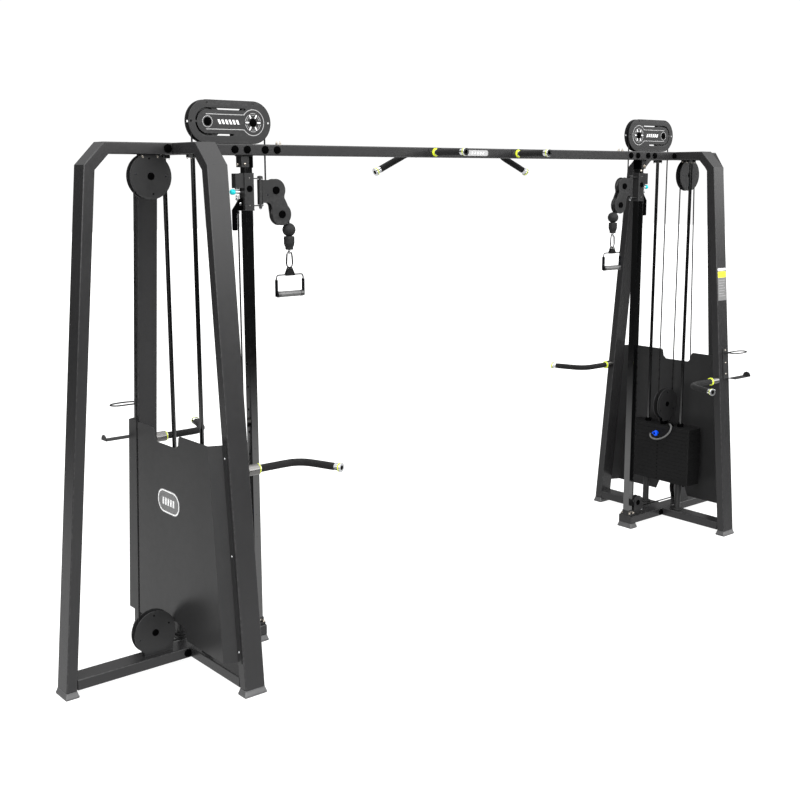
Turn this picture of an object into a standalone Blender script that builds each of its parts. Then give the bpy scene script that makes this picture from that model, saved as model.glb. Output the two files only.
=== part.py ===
"""Cable crossover machine: two weight-stack towers joined by a chin-up beam.

Frame: X along the beam, Y through the depth (-Y is the user's side), Z up.
Origin on the floor under the middle of the beam.  All numbers below are
millimetres; each tower is described for the +X side and the -X tower is the
same tower turned half a turn about Z.
"""
import bpy
import bmesh
import numpy as np
from math import atan2, cos, hypot, pi, radians, sin
from mathutils import Matrix, Vector

MM = 0.001

# frame tubes
HUB_X = 1770.8          # tower centre plane from the middle of the beam
TUBE_W = 100.0          # wide side of the frame tube
TUBE_T = 50.0           # thin side of the frame tube
TOP_Z = 2401.7          # top of the beam and of the top tubes
MITRE_Z = 2305.6        # lower corner of the mitred leg heads
GAP = 0.3               # clearance between pieces that rest on each other
LEG_Y_BOTTOM = 530.4    # outer face of a front or back leg at the foot
LEG_Y_MITRE = 336.6
LEG_Y_TOP = 241.1
LEG_BOTTOM_Z = 30.3
OUT_X_BOTTOM = 664.2    # outer face of the outer leg, from the tower centre
OUT_X_MITRE = 464.5
OUT_X_TOP = 371.3
BASE_Z0 = 30.0
BASE_Z1 = 80.0
BASE_INNER = 373.5      # inner end of the base beam, from the tower centre
FOOT_FLARE = 7.0

# guide column and carriage
COL_X0, COL_X1, COL_Y = 1400.0, 1440.0, 22.0
CAR_X0, CAR_X1, CAR_Y = 1394.0, 1446.0, 26.0
CAR_Z0, CAR_Z1 = 2100.0, 2272.0
PIN_X = 1346.0          # swivel axis of the pulley arm
KNOB_Z = 2186.0

# pulleys
CABLE_R = 3.0
BIG_PITCH = 72.0
BIG_R = 80.0
BIG_HALF = 11.0
ARM_PITCH = 47.5
ARM_R = 50.0
BASE_PITCH = 36.0
BASE_R = 41.0
AXLE_R = 8.0
SMALL_AXLE_R = 6.0
DROP_X = 1316.0         # cable from the beam down to the arm
TOP_IN = (DROP_X + BIG_PITCH, 2499.0)
TOP_OUT = (HUB_X - 2.0 * BIG_PITCH, 2499.0)
STACK_C = (HUB_X, 772.0)
UPPER_C = (HUB_X + 2.0 * BIG_PITCH, 2258.0)
LOWER_C = (1983.0, 185.0)
ANCHOR_X = 1469.0       # cable end on the carriage
BASE_C = (ANCHOR_X + BASE_PITCH, LOWER_C[1] - BIG_PITCH + BASE_PITCH)
ARM_UP = (DROP_X - ARM_PITCH, 2192.0)
ARM_LOW = (1236.5, 2079.0)
HANG_X = ARM_LOW[0] - ARM_PITCH

# weight stack
ROD_Y = 130.0
ROD_R = 10.0
POST_R = 20.0
STACK_HX = 64.0
STACK_HY = 245.0
STACK_Z0 = 265.5
STACK_Z1 = 562.7
HEAD_Z0 = 563.0
HEAD_Z1 = 612.0
HEAD_TOP = 637.0
SEL_Z = 586.0
LANYARD_R = 6.0

# handles
BALL_Z = 2004.5
EYE_Z = 1899.0
GRIP_Z = 1698.0
SIDE_Z = 990.0
FOAM_R = 17.0


def clear_scene():
    for ob in list(bpy.data.objects):
        bpy.data.objects.remove(ob, do_unlink=True)
    for me in list(bpy.data.meshes):
        bpy.data.meshes.remove(me)


def material(name, rgb, rough, metal):
    m = bpy.data.materials.new(name)
    m.use_nodes = True
    b = m.node_tree.nodes["Principled BSDF"]
    b.inputs["Base Color"].default_value = (rgb[0], rgb[1], rgb[2], 1.0)
    b.inputs["Roughness"].default_value = rough
    b.inputs["Metallic"].default_value = metal
    m.diffuse_color = (rgb[0], rgb[1], rgb[2], 1.0)
    return m


def mesh_object(verts, faces):
    me = bpy.data.meshes.new("solid")
    me.from_pydata([tuple(v) for v in verts], [], faces)
    bm = bmesh.new()
    bm.from_mesh(me)
    bmesh.ops.recalc_face_normals(bm, faces=bm.faces)
    bm.to_mesh(me)
    bm.free()
    ob = bpy.data.objects.new("solid", me)
    bpy.context.scene.collection.objects.link(ob)
    return ob


def box(x0, x1, y0, y1, z0, z1):
    v = [(x, y, z) for z in (z0, z1) for y in (y0, y1) for x in (x0, x1)]
    f = [(0, 2, 3, 1), (4, 5, 7, 6), (0, 1, 5, 4), (2, 6, 7, 3), (0, 4, 6, 2), (1, 3, 7, 5)]
    return mesh_object(v, f)


def prism(pts, axis, a0, a1):
    """A flat outline pushed along one axis; pts are the other two coordinates in order."""
    n = len(pts)
    v = []
    for a in (a0, a1):
        for p, q in pts:
            if axis == "x":
                v.append((a, p, q))
            elif axis == "y":
                v.append((p, a, q))
            else:
                v.append((p, q, a))
    f = [tuple(range(n)), tuple(range(2 * n - 1, n - 1, -1))]
    for i in range(n):
        j = (i + 1) % n
        f.append((i, j, n + j, n + i))
    return mesh_object(v, f)


def lathe(profile, axis, centre, n):
    """Closed ring or solid of revolution; profile is (radius, height) pairs."""
    v = []
    rings = []
    for r, h in profile:
        if r <= 0.0:
            rings.append([len(v)])
            v.append((0.0, 0.0, h))
            continue
        rings.append(list(range(len(v), len(v) + n)))
        for i in range(n):
            t = 2.0 * pi * i / n
            v.append((r * cos(t), r * sin(t), h))
    closed = profile[0][0] > 0.0
    f = []
    m = len(rings)
    for k in range(m if closed else m - 1):
        a = rings[k]
        b = rings[(k + 1) % m]
        for i in range(n):
            j = (i + 1) % n
            if len(a) == 1:
                f.append((a[0], b[j], b[i]))
            elif len(b) == 1:
                f.append((a[i], a[j], b[0]))
            else:
                f.append((a[i], a[j], b[j], b[i]))
    out = []
    for x, y, z in v:
        if axis == "y":
            x, y, z = x, z, -y
        elif axis == "x":
            x, y, z = z, y, -x
        out.append((x + centre[0], y + centre[1], z + centre[2]))
    return mesh_object(out, f)


def rod(axis, centre, r, a0, a1, n=12):
    return lathe([(0.0, a0), (r, a0), (r, a1), (0.0, a1)], axis, centre, n)


def tube(points, r, n=8, closed=False):
    """Round bar along a run of points, with flat ends unless it is a closed loop."""
    pts = [Vector(p) for p in points]
    m = len(pts)
    dirs = []
    for i in range(m):
        a = pts[(i - 1) % m] if closed or i > 0 else pts[i]
        b = pts[(i + 1) % m] if closed or i < m - 1 else pts[i]
        dirs.append((b - a).normalized())
    ref = Vector((0, 0, 1)) if abs(dirs[0].z) < 0.9 else Vector((0, 1, 0))
    side = dirs[0].cross(ref).normalized()
    v = []
    for i in range(m):
        d = dirs[i]
        side = (side - d * side.dot(d)).normalized()
        up = d.cross(side)
        for k in range(n):
            t = 2.0 * pi * k / n
            v.append(pts[i] + (side * cos(t) + up * sin(t)) * r)
    f = []
    for i in range(m if closed else m - 1):
        a = i * n
        b = ((i + 1) % m) * n
        for k in range(n):
            j = (k + 1) % n
            f.append((a + k, a + j, b + j, b + k))
    if not closed:
        f.append(tuple(range(n)))
        f.append(tuple(range(m * n - 1, (m - 1) * n - 1, -1)))
    return mesh_object(v, f)


def ball(centre, r, n=14, m=8):
    prof = [(0.0, -r)]
    for i in range(1, m):
        a = -pi / 2 + pi * i / m
        prof.append((r * cos(a), r * sin(a)))
    prof.append((0.0, r))
    return lathe(prof, "z", centre, n)


def solid(parts, cuts=()):
    """One closed body from overlapping solids, less the cutting solids."""
    base = parts[0]
    for other, op in [(o, "UNION") for o in parts[1:]] + [(o, "DIFFERENCE") for o in cuts]:
        mod = base.modifiers.new("b", "BOOLEAN")
        mod.operation = op
        mod.solver = "EXACT"
        mod.object = other
        deps = bpy.context.evaluated_depsgraph_get()
        me = bpy.data.meshes.new_from_object(base.evaluated_get(deps))
        base.modifiers.clear()
        base.data = me
        bpy.data.objects.remove(other, do_unlink=True)
    return base


def place(ob, name, mat, origin, turn, smooth=False):
    """Name a solid, give it its material, put its origin on its own axis point."""
    me = ob.data
    me.name = name
    ob.name = name
    o = Vector(origin)
    me.transform(Matrix.Translation(-o))
    if turn:
        me.transform(Matrix.Rotation(pi, 4, "Z"))
        o = Vector((-o.x, -o.y, o.z))
    me.transform(Matrix.Scale(MM, 4))
    ob.location = o * MM
    bm = bmesh.new()
    bm.from_mesh(me)
    bmesh.ops.remove_doubles(bm, verts=bm.verts, dist=0.00002)
    bmesh.ops.dissolve_degenerate(bm, edges=bm.edges, dist=0.00001)
    bm.to_mesh(me)
    bm.free()
    me.materials.clear()
    me.materials.append(mat)
    if smooth:
        for p in me.polygons:
            p.use_smooth = True
        me.set_sharp_from_angle(angle=radians(35))
    return ob


def leg_y(z):
    """Outer face of a front or back leg at a height."""
    k = (LEG_Y_BOTTOM - LEG_Y_MITRE) / (MITRE_Z - 30.0)
    return LEG_Y_BOTTOM - k * (z - 30.0)


def out_x(z):
    """Outer face of the outer leg at a height, from the tower centre."""
    k = (OUT_X_BOTTOM - OUT_X_MITRE) / (MITRE_Z - 30.0)
    return OUT_X_BOTTOM - k * (z - 30.0)


def arc(cx, cz, r, a0, a1, n):
    return [(cx + r * cos(radians(a0 + (a1 - a0) * i / n)),
             cz + r * sin(radians(a0 + (a1 - a0) * i / n))) for i in range(n + 1)]


def a_frame():
    """Front and back legs with the top tube between them."""
    zt = TOP_Z - TUBE_T
    ring = [(-leg_y(LEG_BOTTOM_Z), LEG_BOTTOM_Z), (-LEG_Y_MITRE, MITRE_Z), (-LEG_Y_TOP, TOP_Z),
            (LEG_Y_TOP, TOP_Z), (LEG_Y_MITRE, MITRE_Z), (leg_y(LEG_BOTTOM_Z), LEG_BOTTOM_Z),
            (leg_y(LEG_BOTTOM_Z) - 50.2, LEG_BOTTOM_Z), (leg_y(2283.0) - 50.2, 2283.0), (220.0, zt),
            (-220.0, zt), (-leg_y(2283.0) + 50.2, 2283.0), (-leg_y(LEG_BOTTOM_Z) + 50.2, LEG_BOTTOM_Z)]
    return prism(ring, "x", HUB_X - TUBE_W / 2, HUB_X + TUBE_W / 2)


def accessory_holder():
    """Plate on the face of one leg with a wire hoop and two prongs for spare handles."""
    hoop = [(1790, -437.5, 1165), (1792, -452, 1165), (1830, -456, 1165), (1880, -458, 1165),
            (1905, -468, 1165), (1915, -490, 1165), (1900, -512, 1165), (1865, -522, 1165),
            (1820, -522, 1165), (1784, -510, 1165), (1772, -490, 1165), (1770, -437.5, 1165)]
    prong_a = [(1790, -454, 1014), (1850, -458, 1000), (1930, -458, 1000), (1968, -458, 1022)]
    prong_b = [(1769, -450.5, 1014), (1790, -500, 1000), (1880, -506, 1000), (1925, -506, 1022)]
    face = [(-leg_y(z) - d, z) for z, d in ((1000, GAP), (1000, 5.3), (1190, 5.3), (1190, GAP))]
    plate = prism(face, "x", 1757, 1803)
    return solid([plate, tube(hoop, 4.0, 6), tube(prong_a, 6.0, 6), tube(prong_b, 6.0, 6)])


def pulley_plates(outline, y_in, y_out):
    return [prism(outline, "y", y_in, y_out), prism(outline, "y", -y_out, -y_in)]


def outer_leg():
    """Outer leg with its top tube and the hanging cover of the upper pulley."""
    zt = TOP_Z - TUBE_T
    w = HUB_X
    ring = [(w + out_x(LEG_BOTTOM_Z), LEG_BOTTOM_Z), (w + OUT_X_MITRE, MITRE_Z),
            (w + OUT_X_TOP, TOP_Z), (w + 50.0 + GAP, TOP_Z), (w + 50.0 + GAP, zt),
            (w + 349.9, zt), (w + out_x(2284.0) - 50.2, 2284.0),
            (w + out_x(LEG_BOTTOM_Z) - 50.2, LEG_BOTTOM_Z)]
    body = prism(ring, "y", -TUBE_W / 2, TUBE_W / 2)
    cx, cz = UPPER_C
    disc = arc(cx, cz, 100.0, 0, 342, 19)
    parts = [body] + pulley_plates(disc, 14.0, 18.0)
    parts.append(box(cx - 30, cx + 30, -15, 15, cz + 84, zt + 5))
    parts.append(rod("y", (cx, 0, cz), AXLE_R, -16, 16))
    return solid(parts)


def foot(cx, cy, hx, hy):
    """Flared pad: wide at the floor, leg-sized at the top, with a key into the beam."""
    a, b = hx + FOOT_FLARE, hy + FOOT_FLARE
    v = []
    for px, py, z in ((a, b, 0.0), (a, b, 8.0), (hx, hy, 26.0), (hx, hy, 29.8)):
        v += [(cx - px, cy - py, z), (cx + px, cy - py, z), (cx + px, cy + py, z), (cx - px, cy + py, z)]
    f = [(0, 3, 2, 1), (12, 13, 14, 15)]
    for k in range(3):
        for i in range(4):
            j = (i + 1) % 4
            f.append((4 * k + i, 4 * k + j, 4 * k + 4 + j, 4 * k + 4 + i))
    return mesh_object(v, f)


def base_frame():
    """Base cross on four flared feet, with the lower and base pulley brackets."""
    w = HUB_X
    y_end = leg_y(BASE_Z1) - 50.2 - GAP - 0.2
    x_end = w + out_x(BASE_Z1) - 50.2 - GAP - 0.2
    parts = [box(w - BASE_INNER, x_end, -50, 50, BASE_Z0, BASE_Z1),
             box(w - 50, w + 50, -y_end, y_end, BASE_Z0, BASE_Z1 - 0.4)]
    yf = LEG_Y_BOTTOM - 50.0
    for s in (-1, 1):
        parts.append(foot(w, s * (yf + 25), 50, 25))
        for near, far, top in ((y_end - 40, y_end - 6, 50), (y_end - 30, yf + 20, 29.6)):
            parts.append(box(w - 20, w + 20, min(s * near, s * far), max(s * near, s * far), 10, top))
    parts.append(foot(w + OUT_X_BOTTOM - 25, 0, 25, 50))
    parts.append(box(x_end - 40, x_end - 6, -20, 20, 10, 50))
    parts.append(box(x_end - 30, w + OUT_X_BOTTOM - 30, -20, 20, 10, 29.6))
    parts.append(foot(w - BASE_INNER + 25, 0, 25, 50))
    parts.append(box(w - BASE_INNER + 10, w - BASE_INNER + 40, -40, 40, 10, 50))
    cx, cz = LOWER_C
    cover = arc(cx, cz, 104.0, -60, 240, 16) + [(cx - 52, 75), (cx + 52, 75)]
    parts += pulley_plates(cover, 14.0, 18.0)
    parts.append(box(cx - 45, cx + 45, -15, 15, 70, 98))
    parts.append(rod("y", (cx, 0, cz), AXLE_R, -16, 16))
    bx, bz = BASE_C
    cheek = [(bx - 42, 75), (bx + 60, 75), (bx + 48, bz), (bx + 34, bz + 34), (bx, bz + 46),
             (bx - 26, bz + 36), (bx - 34, bz)]
    parts += pulley_plates(cheek, 12.0, 16.0)
    parts.append(box(bx - 30, bx + 45, -13, 13, 70, 94))
    parts.append(rod("y", (bx, 0, bz), SMALL_AXLE_R, -14, 14))
    return solid(parts)


def guide_column():
    """Upright flat tube with its foot plate and its bracket under the beam."""
    zt = TOP_Z - TUBE_T - GAP
    parts = [box(COL_X0, COL_X1, -COL_Y, COL_Y, BASE_Z1 + GAP, zt - 2),
             box(1396, 1450, -38, 38, BASE_Z1 + GAP + 0.1, BASE_Z1 + 12),
             box(1398, 1450, -24, 24, 2296, zt)]
    gusset = [(1446, 2292), (1446, zt - 0.2), (1520, zt - 0.2), (1456, 2280)]
    parts.append(prism(gusset, "y", -5, 5))
    return solid(parts)


def guide_rod(sy):
    zt = TOP_Z - TUBE_T - GAP
    z0 = BASE_Z1 + GAP
    prof = [(0, z0), (32, z0), (32, z0 + 8), (POST_R, z0 + 8), (POST_R, STACK_Z0 - GAP),
            (ROD_R, STACK_Z0 - GAP), (ROD_R, zt - 16), (28, zt - 16), (28, zt), (0, zt)]
    return lathe(prof, "z", (HUB_X, sy * ROD_Y, 0), 12)


def rod_holes(z0, z1, r=12.0):
    return [rod("z", (HUB_X, s * ROD_Y, 0), r, z0, z1) for s in (-1, 1)]


def weight_stack():
    body = box(HUB_X - STACK_HX, HUB_X + STACK_HX, -STACK_HY, STACK_HY, STACK_Z0, STACK_Z1)
    cuts = rod_holes(STACK_Z0 - 5, STACK_Z1 + 5)
    cuts.append(rod("z", (HUB_X, 0, 0), 14.0, STACK_Z0 - 5, STACK_Z1 + 5))
    return solid([body], cuts)


def stack_head():
    """Top plate with the selected plates, the selector stem and the pulley yoke."""
    w = HUB_X
    parts = [box(w - STACK_HX, w + STACK_HX, -STACK_HY, STACK_HY, HEAD_Z0, HEAD_Z1),
             box(w - STACK_HX + 2, w + STACK_HX - 2, -STACK_HY + 2, STACK_HY - 2, HEAD_Z1 - 1, HEAD_TOP)]
    for s in (-1, 1):
        parts.append(rod("z", (w, s * ROD_Y, 0), 20.0, HEAD_TOP - 2, HEAD_TOP + 20))
    parts.append(rod("z", (w, 0, 0), 12.0, STACK_Z0 + 5, HEAD_Z0 + 5))
    parts.append(box(w - 24, w + 24, -15, 15, HEAD_TOP - 3, 687))
    cx, cz = STACK_C
    cover = arc(cx, cz, 102.0, -70, 250, 18) + [(cx - 36, 660), (cx + 36, 660)]
    parts += pulley_plates(cover, 14.0, 18.0)
    parts.append(rod("y", (cx, 0, cz), AXLE_R, -16, 16))
    cuts = rod_holes(HEAD_Z0 - 5, HEAD_TOP + 30)
    cuts.append(rod("x", (0, 0, SEL_Z), 6.0, w - STACK_HX - 10, w - 10))
    return solid(parts, cuts)


def selector_pin():
    x0 = HUB_X - STACK_HX
    prof = [(0, x0 - 38), (17, x0 - 38), (21, x0 - 33), (21, x0 - 22), (17, x0 - 17), (9, x0 - 15),
            (9, x0 - 2), (4.5, x0 - 2), (4.5, x0 + 48), (0, x0 + 50)]
    return lathe(prof, "x", (0, 0, SEL_Z), 12)


def lanyard():
    """Cord from beside the selector knob, down and round to the top plate."""
    x0 = HUB_X - STACK_HX
    pts = [(-40, 28.5, -3), (-42, 30, -14), (-42, 24, -27), (-40, 8, -35), (-38, -14, -37),
           (-35, -38, -32), (-31, -62, -21), (-27, -84, -6), (-23, -102, 14), (-19, -113, 34),
           (-13, -114, 51), (-4, -106, 62), (8, -92, 66), (20, -78, 64), (28, -68, 60)]
    return tube([(x0 + x, y, SEL_Z + z) for x, y, z in pts], LANYARD_R, 6)


def pulley(pitch, r, half, bore, centre, n):
    g = pitch - CABLE_R - 1.5
    prof = [(bore, -half), (r, -half), (g, -3.6), (g, 3.6), (r, half), (bore, half)]
    return lathe(prof, "y", (centre[0], 0, centre[1]), n)


def top_housing():
    """Cover of the two beam-top pulleys: a pair of stadium plates on a foot block."""
    (ax, z), (bx, _) = TOP_IN, TOP_OUT
    r = 96.0
    outline = arc(bx, z, r, -90, 90, 12) + arc(ax, z, r, 90, 270, 12)
    parts = pulley_plates(outline, 14.0, 18.0)
    parts.append(box(ax + 20, bx - 20, -18.2, 18.2, TOP_Z + GAP, z - 84))
    parts.append(rod("y", (ax, 0, z), AXLE_R, -16, 16))
    parts.append(rod("y", (bx, 0, z), AXLE_R, -16, 16))
    return solid([parts[2], parts[0], parts[1], parts[3], parts[4]])


def carriage():
    """Sleeve on the column with the hinge lugs, hinge pin, pin box, grip and cable anchor."""
    parts = [box(CAR_X0, CAR_X1, -CAR_Y, CAR_Y, CAR_Z0, CAR_Z1),
             box(CAR_X1 - 3, 1490, -19, 19, 2203, 2270),
             box(1331, CAR_X0 + 4, -14, 14, 2244.5, 2249.5),
             box(1331, CAR_X0 + 4, -14, 14, 2119.5, 2124.5),
             rod("z", (PIN_X, 0, 0), 6.0, 2110, 2256)]
    grip = [(CAR_X1 - 3, 2160), (1466, 2152), (1480, 2130), (1500, 2104), (1500, 2016), (1497, 2010),
            (1479, 2010), (1477, 2014), (1477, 2101), (1458, 2101), (CAR_X1 - 3, 2106)]
    parts.append(prism(grip, "y", -7, 7))
    cut = box(COL_X0 - 0.5, COL_X1 + 0.5, -COL_Y - 0.5, COL_Y + 0.5, CAR_Z0 - 5, CAR_Z1 + 5)
    hole = rod("x", (0, 0, KNOB_Z), 6.0, COL_X1 - 2, CAR_X1 + 5)
    return solid(parts, [cut, hole])


def pop_pin():
    prof = [(0, COL_X1 + 1), (5, COL_X1 + 1), (5, CAR_X1 + 14), (9, CAR_X1 + 14), (9, CAR_X1 + 34),
            (15, CAR_X1 + 38), (15, CAR_X1 + 56), (11, CAR_X1 + 62), (0, CAR_X1 + 62)]
    return lathe(prof, "x", (0, 0, KNOB_Z), 12)


def swivel_arm():
    """Two figure-of-eight cheeks on a barrel that turns about the hinge pin."""
    ux, uz = ARM_UP
    lx, lz = ARM_LOW
    outline = [(PIN_X - 2, 2240), (ux + 22.4, 2240)] + arc(ux, uz, 53.0, 75, 205, 9)
    outline += [(1217, 2149)] + arc(lx, lz, 52.0, 132, 360, 14)
    outline += [(1296, 2134), (PIN_X - 2, 2134)]
    parts = [rod("z", (PIN_X, 0, 0), 14.0, 2126, 2243)]
    parts += pulley_plates(outline, 12.5, 16.5)
    parts.append(box(1325, PIN_X, -13.2, 13.2, 2136, 2238))
    parts.append(rod("y", (ux, 0, uz), SMALL_AXLE_R, -14, 14))
    parts.append(rod("y", (lx, 0, lz), SMALL_AXLE_R, -14, 14))
    bore = rod("z", (PIN_X, 0, 0), 6.5, 2120, 2250)
    return solid(parts, [bore])


def cable_stop():
    """Rubber ball and tapered collar at the cable end, with the eye for the carabiner."""
    x = HANG_X
    prof = [(0, 1909), (19, 1909), (22, 1925), (26, 1940), (26, 1972), (22, 1980), (12, 1986), (0, 1990)]
    eye = [(x, 9.0 * cos(2 * pi * i / 12), EYE_Z + 9.0 * sin(2 * pi * i / 12)) for i in range(12)]
    return solid([ball((x, 0, BALL_Z), 32.0), lathe(prof, "z", (x, 0, 0), 14),
                  tube(eye, 2.5, 6, closed=True)])


def handle():
    """Carabiner, strap and stirrup with its knurled grip."""
    x = HANG_X
    z = EYE_Z
    loop = [(x - 3, 0, z), (x + 3, 0, z), (x + 9, 0, z - 3), (x + 13, 0, z - 10), (x + 17, 0, z - 45),
            (x + 16, 0, z - 62), (x + 8, 0, z - 74), (x, 0, z - 77), (x - 8, 0, z - 74),
            (x - 16, 0, z - 62), (x - 17, 0, z - 45), (x - 13, 0, z - 10), (x - 9, 0, z - 3)]
    strap = [(x - 26, 1790), (x + 26, 1790), (x + 9, 1828), (x - 9, 1828)]
    parts = [prism(strap, "y", -11, 11), tube(loop, 4.0, 6, closed=True),
             box(x - 80, x + 80, -6, 6, 1787, 1794),
             box(x - 81, x - 74, -10, 10, 1686, 1793.5), box(x + 74, x + 81, -10, 10, 1686, 1793.5),
             rod("x", (0, 0, GRIP_Z), 15.0, x - 77, x + 77)]
    return solid(parts)


def side_handle(sy):
    """Bent grip on the inner side of a leg: stub, foam tube and end ring."""
    y0 = sy * (leg_y(SIDE_Z) - 25.0)
    x0 = HUB_X - TUBE_W / 2 - GAP
    pts = [(x0 - 50, y0), (1560, y0), (1524, y0), (1488, y0 + sy * 4), (1458, y0 + sy * 18),
           (1436, y0 + sy * 40), (1420, y0 + sy * 72), (1373, sy * 634)]
    foam = tube([(x, y, SIDE_Z) for x, y in pts], FOAM_R, 12)
    d = Vector((1373 - 1420, sy * 634 - (y0 + sy * 72), 0)).normalized()
    e = Vector((1373, sy * 634, SIDE_Z))
    ring = tube([e - d * 2, e + d * 12], 21.0, 12)
    stub = rod("x", (0, y0, SIDE_Z), 25.0, x0 - 57, x0)
    return solid([stub, foam, ring])


def shroud():
    """Bent sheet cover on the outer side of the legs, notched top and bottom."""
    x_leg = HUB_X + TUBE_W / 2 + GAP + 0.2
    x_out = 1881.0
    z0, z1 = 150.0, 1115.0

    def fold(z):
        return 369.0 + (448.0 - 369.0) * (z1 - z) / (z1 - z0)

    def foot_y(z):
        return leg_y(z) - 44.0

    def tip_y(z):
        return leg_y(z) - 14.0

    top = [(-128, z1), (-114, z1 - 8), (-108, z1 - 44), (-88, z1 - 62), (88, z1 - 62),
           (108, z1 - 44), (114, z1 - 8), (128, z1)]
    low = [(128, z0), (120, z0 + 20), (104, z0 + 58), (84, z0 + 63), (-84, z0 + 63),
           (-104, z0 + 58), (-120, z0 + 20), (-128, z0)]
    outline = [(-fold(z1), z1)] + top + [(fold(z1), z1), (fold(z0), z0)] + low + [(-fold(z0), z0)]
    t = 2.5
    v = []
    for x in (x_out, x_out - t):
        v += [(x, y, z) for y, z in outline]
    n = len(outline)
    i_tr = outline.index((fold(z1), z1))
    f = [tuple(range(n)), tuple(range(2 * n - 1, n - 1, -1))]
    for i in range(n):
        j = (i + 1) % n
        if i == i_tr or i == n - 1:
            continue
        f.append((i, j, n + j, n + i))
    for s, top_i, low_i in ((1, i_tr, i_tr + 1), (-1, 0, n - 1)):
        a = len(v)
        for z in (z1, z0):
            v += [(x_leg + t, s * foot_y(z), z), (x_leg, s * (foot_y(z) - 1.0), z),
                  (x_leg + t, s * tip_y(z), z), (x_leg, s * tip_y(z), z)]
        b = a + 4
        f += [(top_i, low_i, b, a), (n + top_i, n + low_i, b + 1, a + 1),
              (a, b, b + 2, a + 2), (a + 1, b + 1, b + 3, a + 3), (a + 2, b + 2, b + 3, a + 3),
              (top_i, a, a + 1, n + top_i), (low_i, b, b + 1, n + low_i),
              (a, a + 2, a + 3, a + 1), (b, b + 2, b + 3, b + 1)]
    return mesh_object(v, f)


def tangent(c1, r1, c2, r2):
    """Contact points of a run that leaves wheel 1 clockwise and meets wheel 2 anticlockwise."""
    dx, dz = c2[0] - c1[0], c2[1] - c1[1]
    d = hypot(dx, dz)
    base = atan2(dz, dx)
    off = np.arcsin((r1 + r2) / d)
    phi = base - off
    tx, tz = cos(phi), sin(phi)
    p1 = (c1[0] - r1 * tz, c1[1] + r1 * tx)
    p2 = (c2[0] + r2 * tz, c2[1] - r2 * tx)
    return p1, p2


def cable_points():
    """Centre line of the whole cable, from the ball to the carriage anchor."""
    a1, a2 = tangent(ARM_UP, ARM_PITCH, ARM_LOW, ARM_PITCH)
    ang1 = np.degrees(atan2(a1[1] - ARM_UP[1], a1[0] - ARM_UP[0]))
    ang2 = np.degrees(atan2(a2[1] - ARM_LOW[1], a2[0] - ARM_LOW[0]))
    pts = [(HANG_X, BALL_Z + 32.4)]
    pts += arc(ARM_LOW[0], ARM_LOW[1], ARM_PITCH, 180, ang2, 5)
    pts += arc(ARM_UP[0], ARM_UP[1], ARM_PITCH, ang1, 0, 5)
    pts += arc(TOP_IN[0], TOP_IN[1], BIG_PITCH, 180, 90, 6)
    pts += arc(TOP_OUT[0], TOP_OUT[1], BIG_PITCH, 90, 0, 6)
    pts += arc(STACK_C[0], STACK_C[1], BIG_PITCH, 180, 360, 12)
    slope = np.degrees(atan2(LOWER_C[0] - UPPER_C[0], UPPER_C[1] - LOWER_C[1]))
    pts += arc(UPPER_C[0], UPPER_C[1], BIG_PITCH, 180, slope, 12)
    pts += arc(LOWER_C[0], LOWER_C[1], BIG_PITCH, slope, -90, 6)
    pts += arc(BASE_C[0], BASE_C[1], BASE_PITCH, 270, 180, 6)
    pts.append((ANCHOR_X, CAR_Z0 + 1.0 - GAP))
    return pts


def cable():
    return tube([(x, 0.0, z) for x, z in cable_points()], CABLE_R, 6)


def crossbeam():
    """Beam between the towers with its cable holes and the four chin-up grips."""
    xe = HUB_X - TUBE_W / 2 - GAP
    zt = TOP_Z - TUBE_T
    parts = [box(-xe, xe, -50, 50, zt, TOP_Z)]
    for s in (-1, 1):
        parts.append(rod("y", (s * 304, 0, 2377), FOAM_R, -276, -45, 12))
        parts.append(rod("y", (s * 304, 0, 2377), 21.0, -288, -274, 12))
        pts = [(s * 346, 44, 2376), (s * 346, 96, 2375), (s * 352, 116, 2370), (s * 366, 128, 2362),
               (s * 388, 131, 2351), (s * 548, 130, 2280)]
        parts.append(tube(pts, FOAM_R, 12))
        parts.append(tube([(s * 546.5, 130, 2280.7), (s * 559, 130, 2275)], 21.0, 12))
    cuts = []
    for x in (DROP_X, TOP_OUT[0] + BIG_PITCH):
        cuts.append(rod("z", (x, 0, 0), 7.0, zt - 5, TOP_Z + 5, 12))
        cuts.append(rod("z", (-x, 0, 0), 7.0, zt - 5, TOP_Z + 5, 12))
    return solid(parts, cuts)


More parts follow.
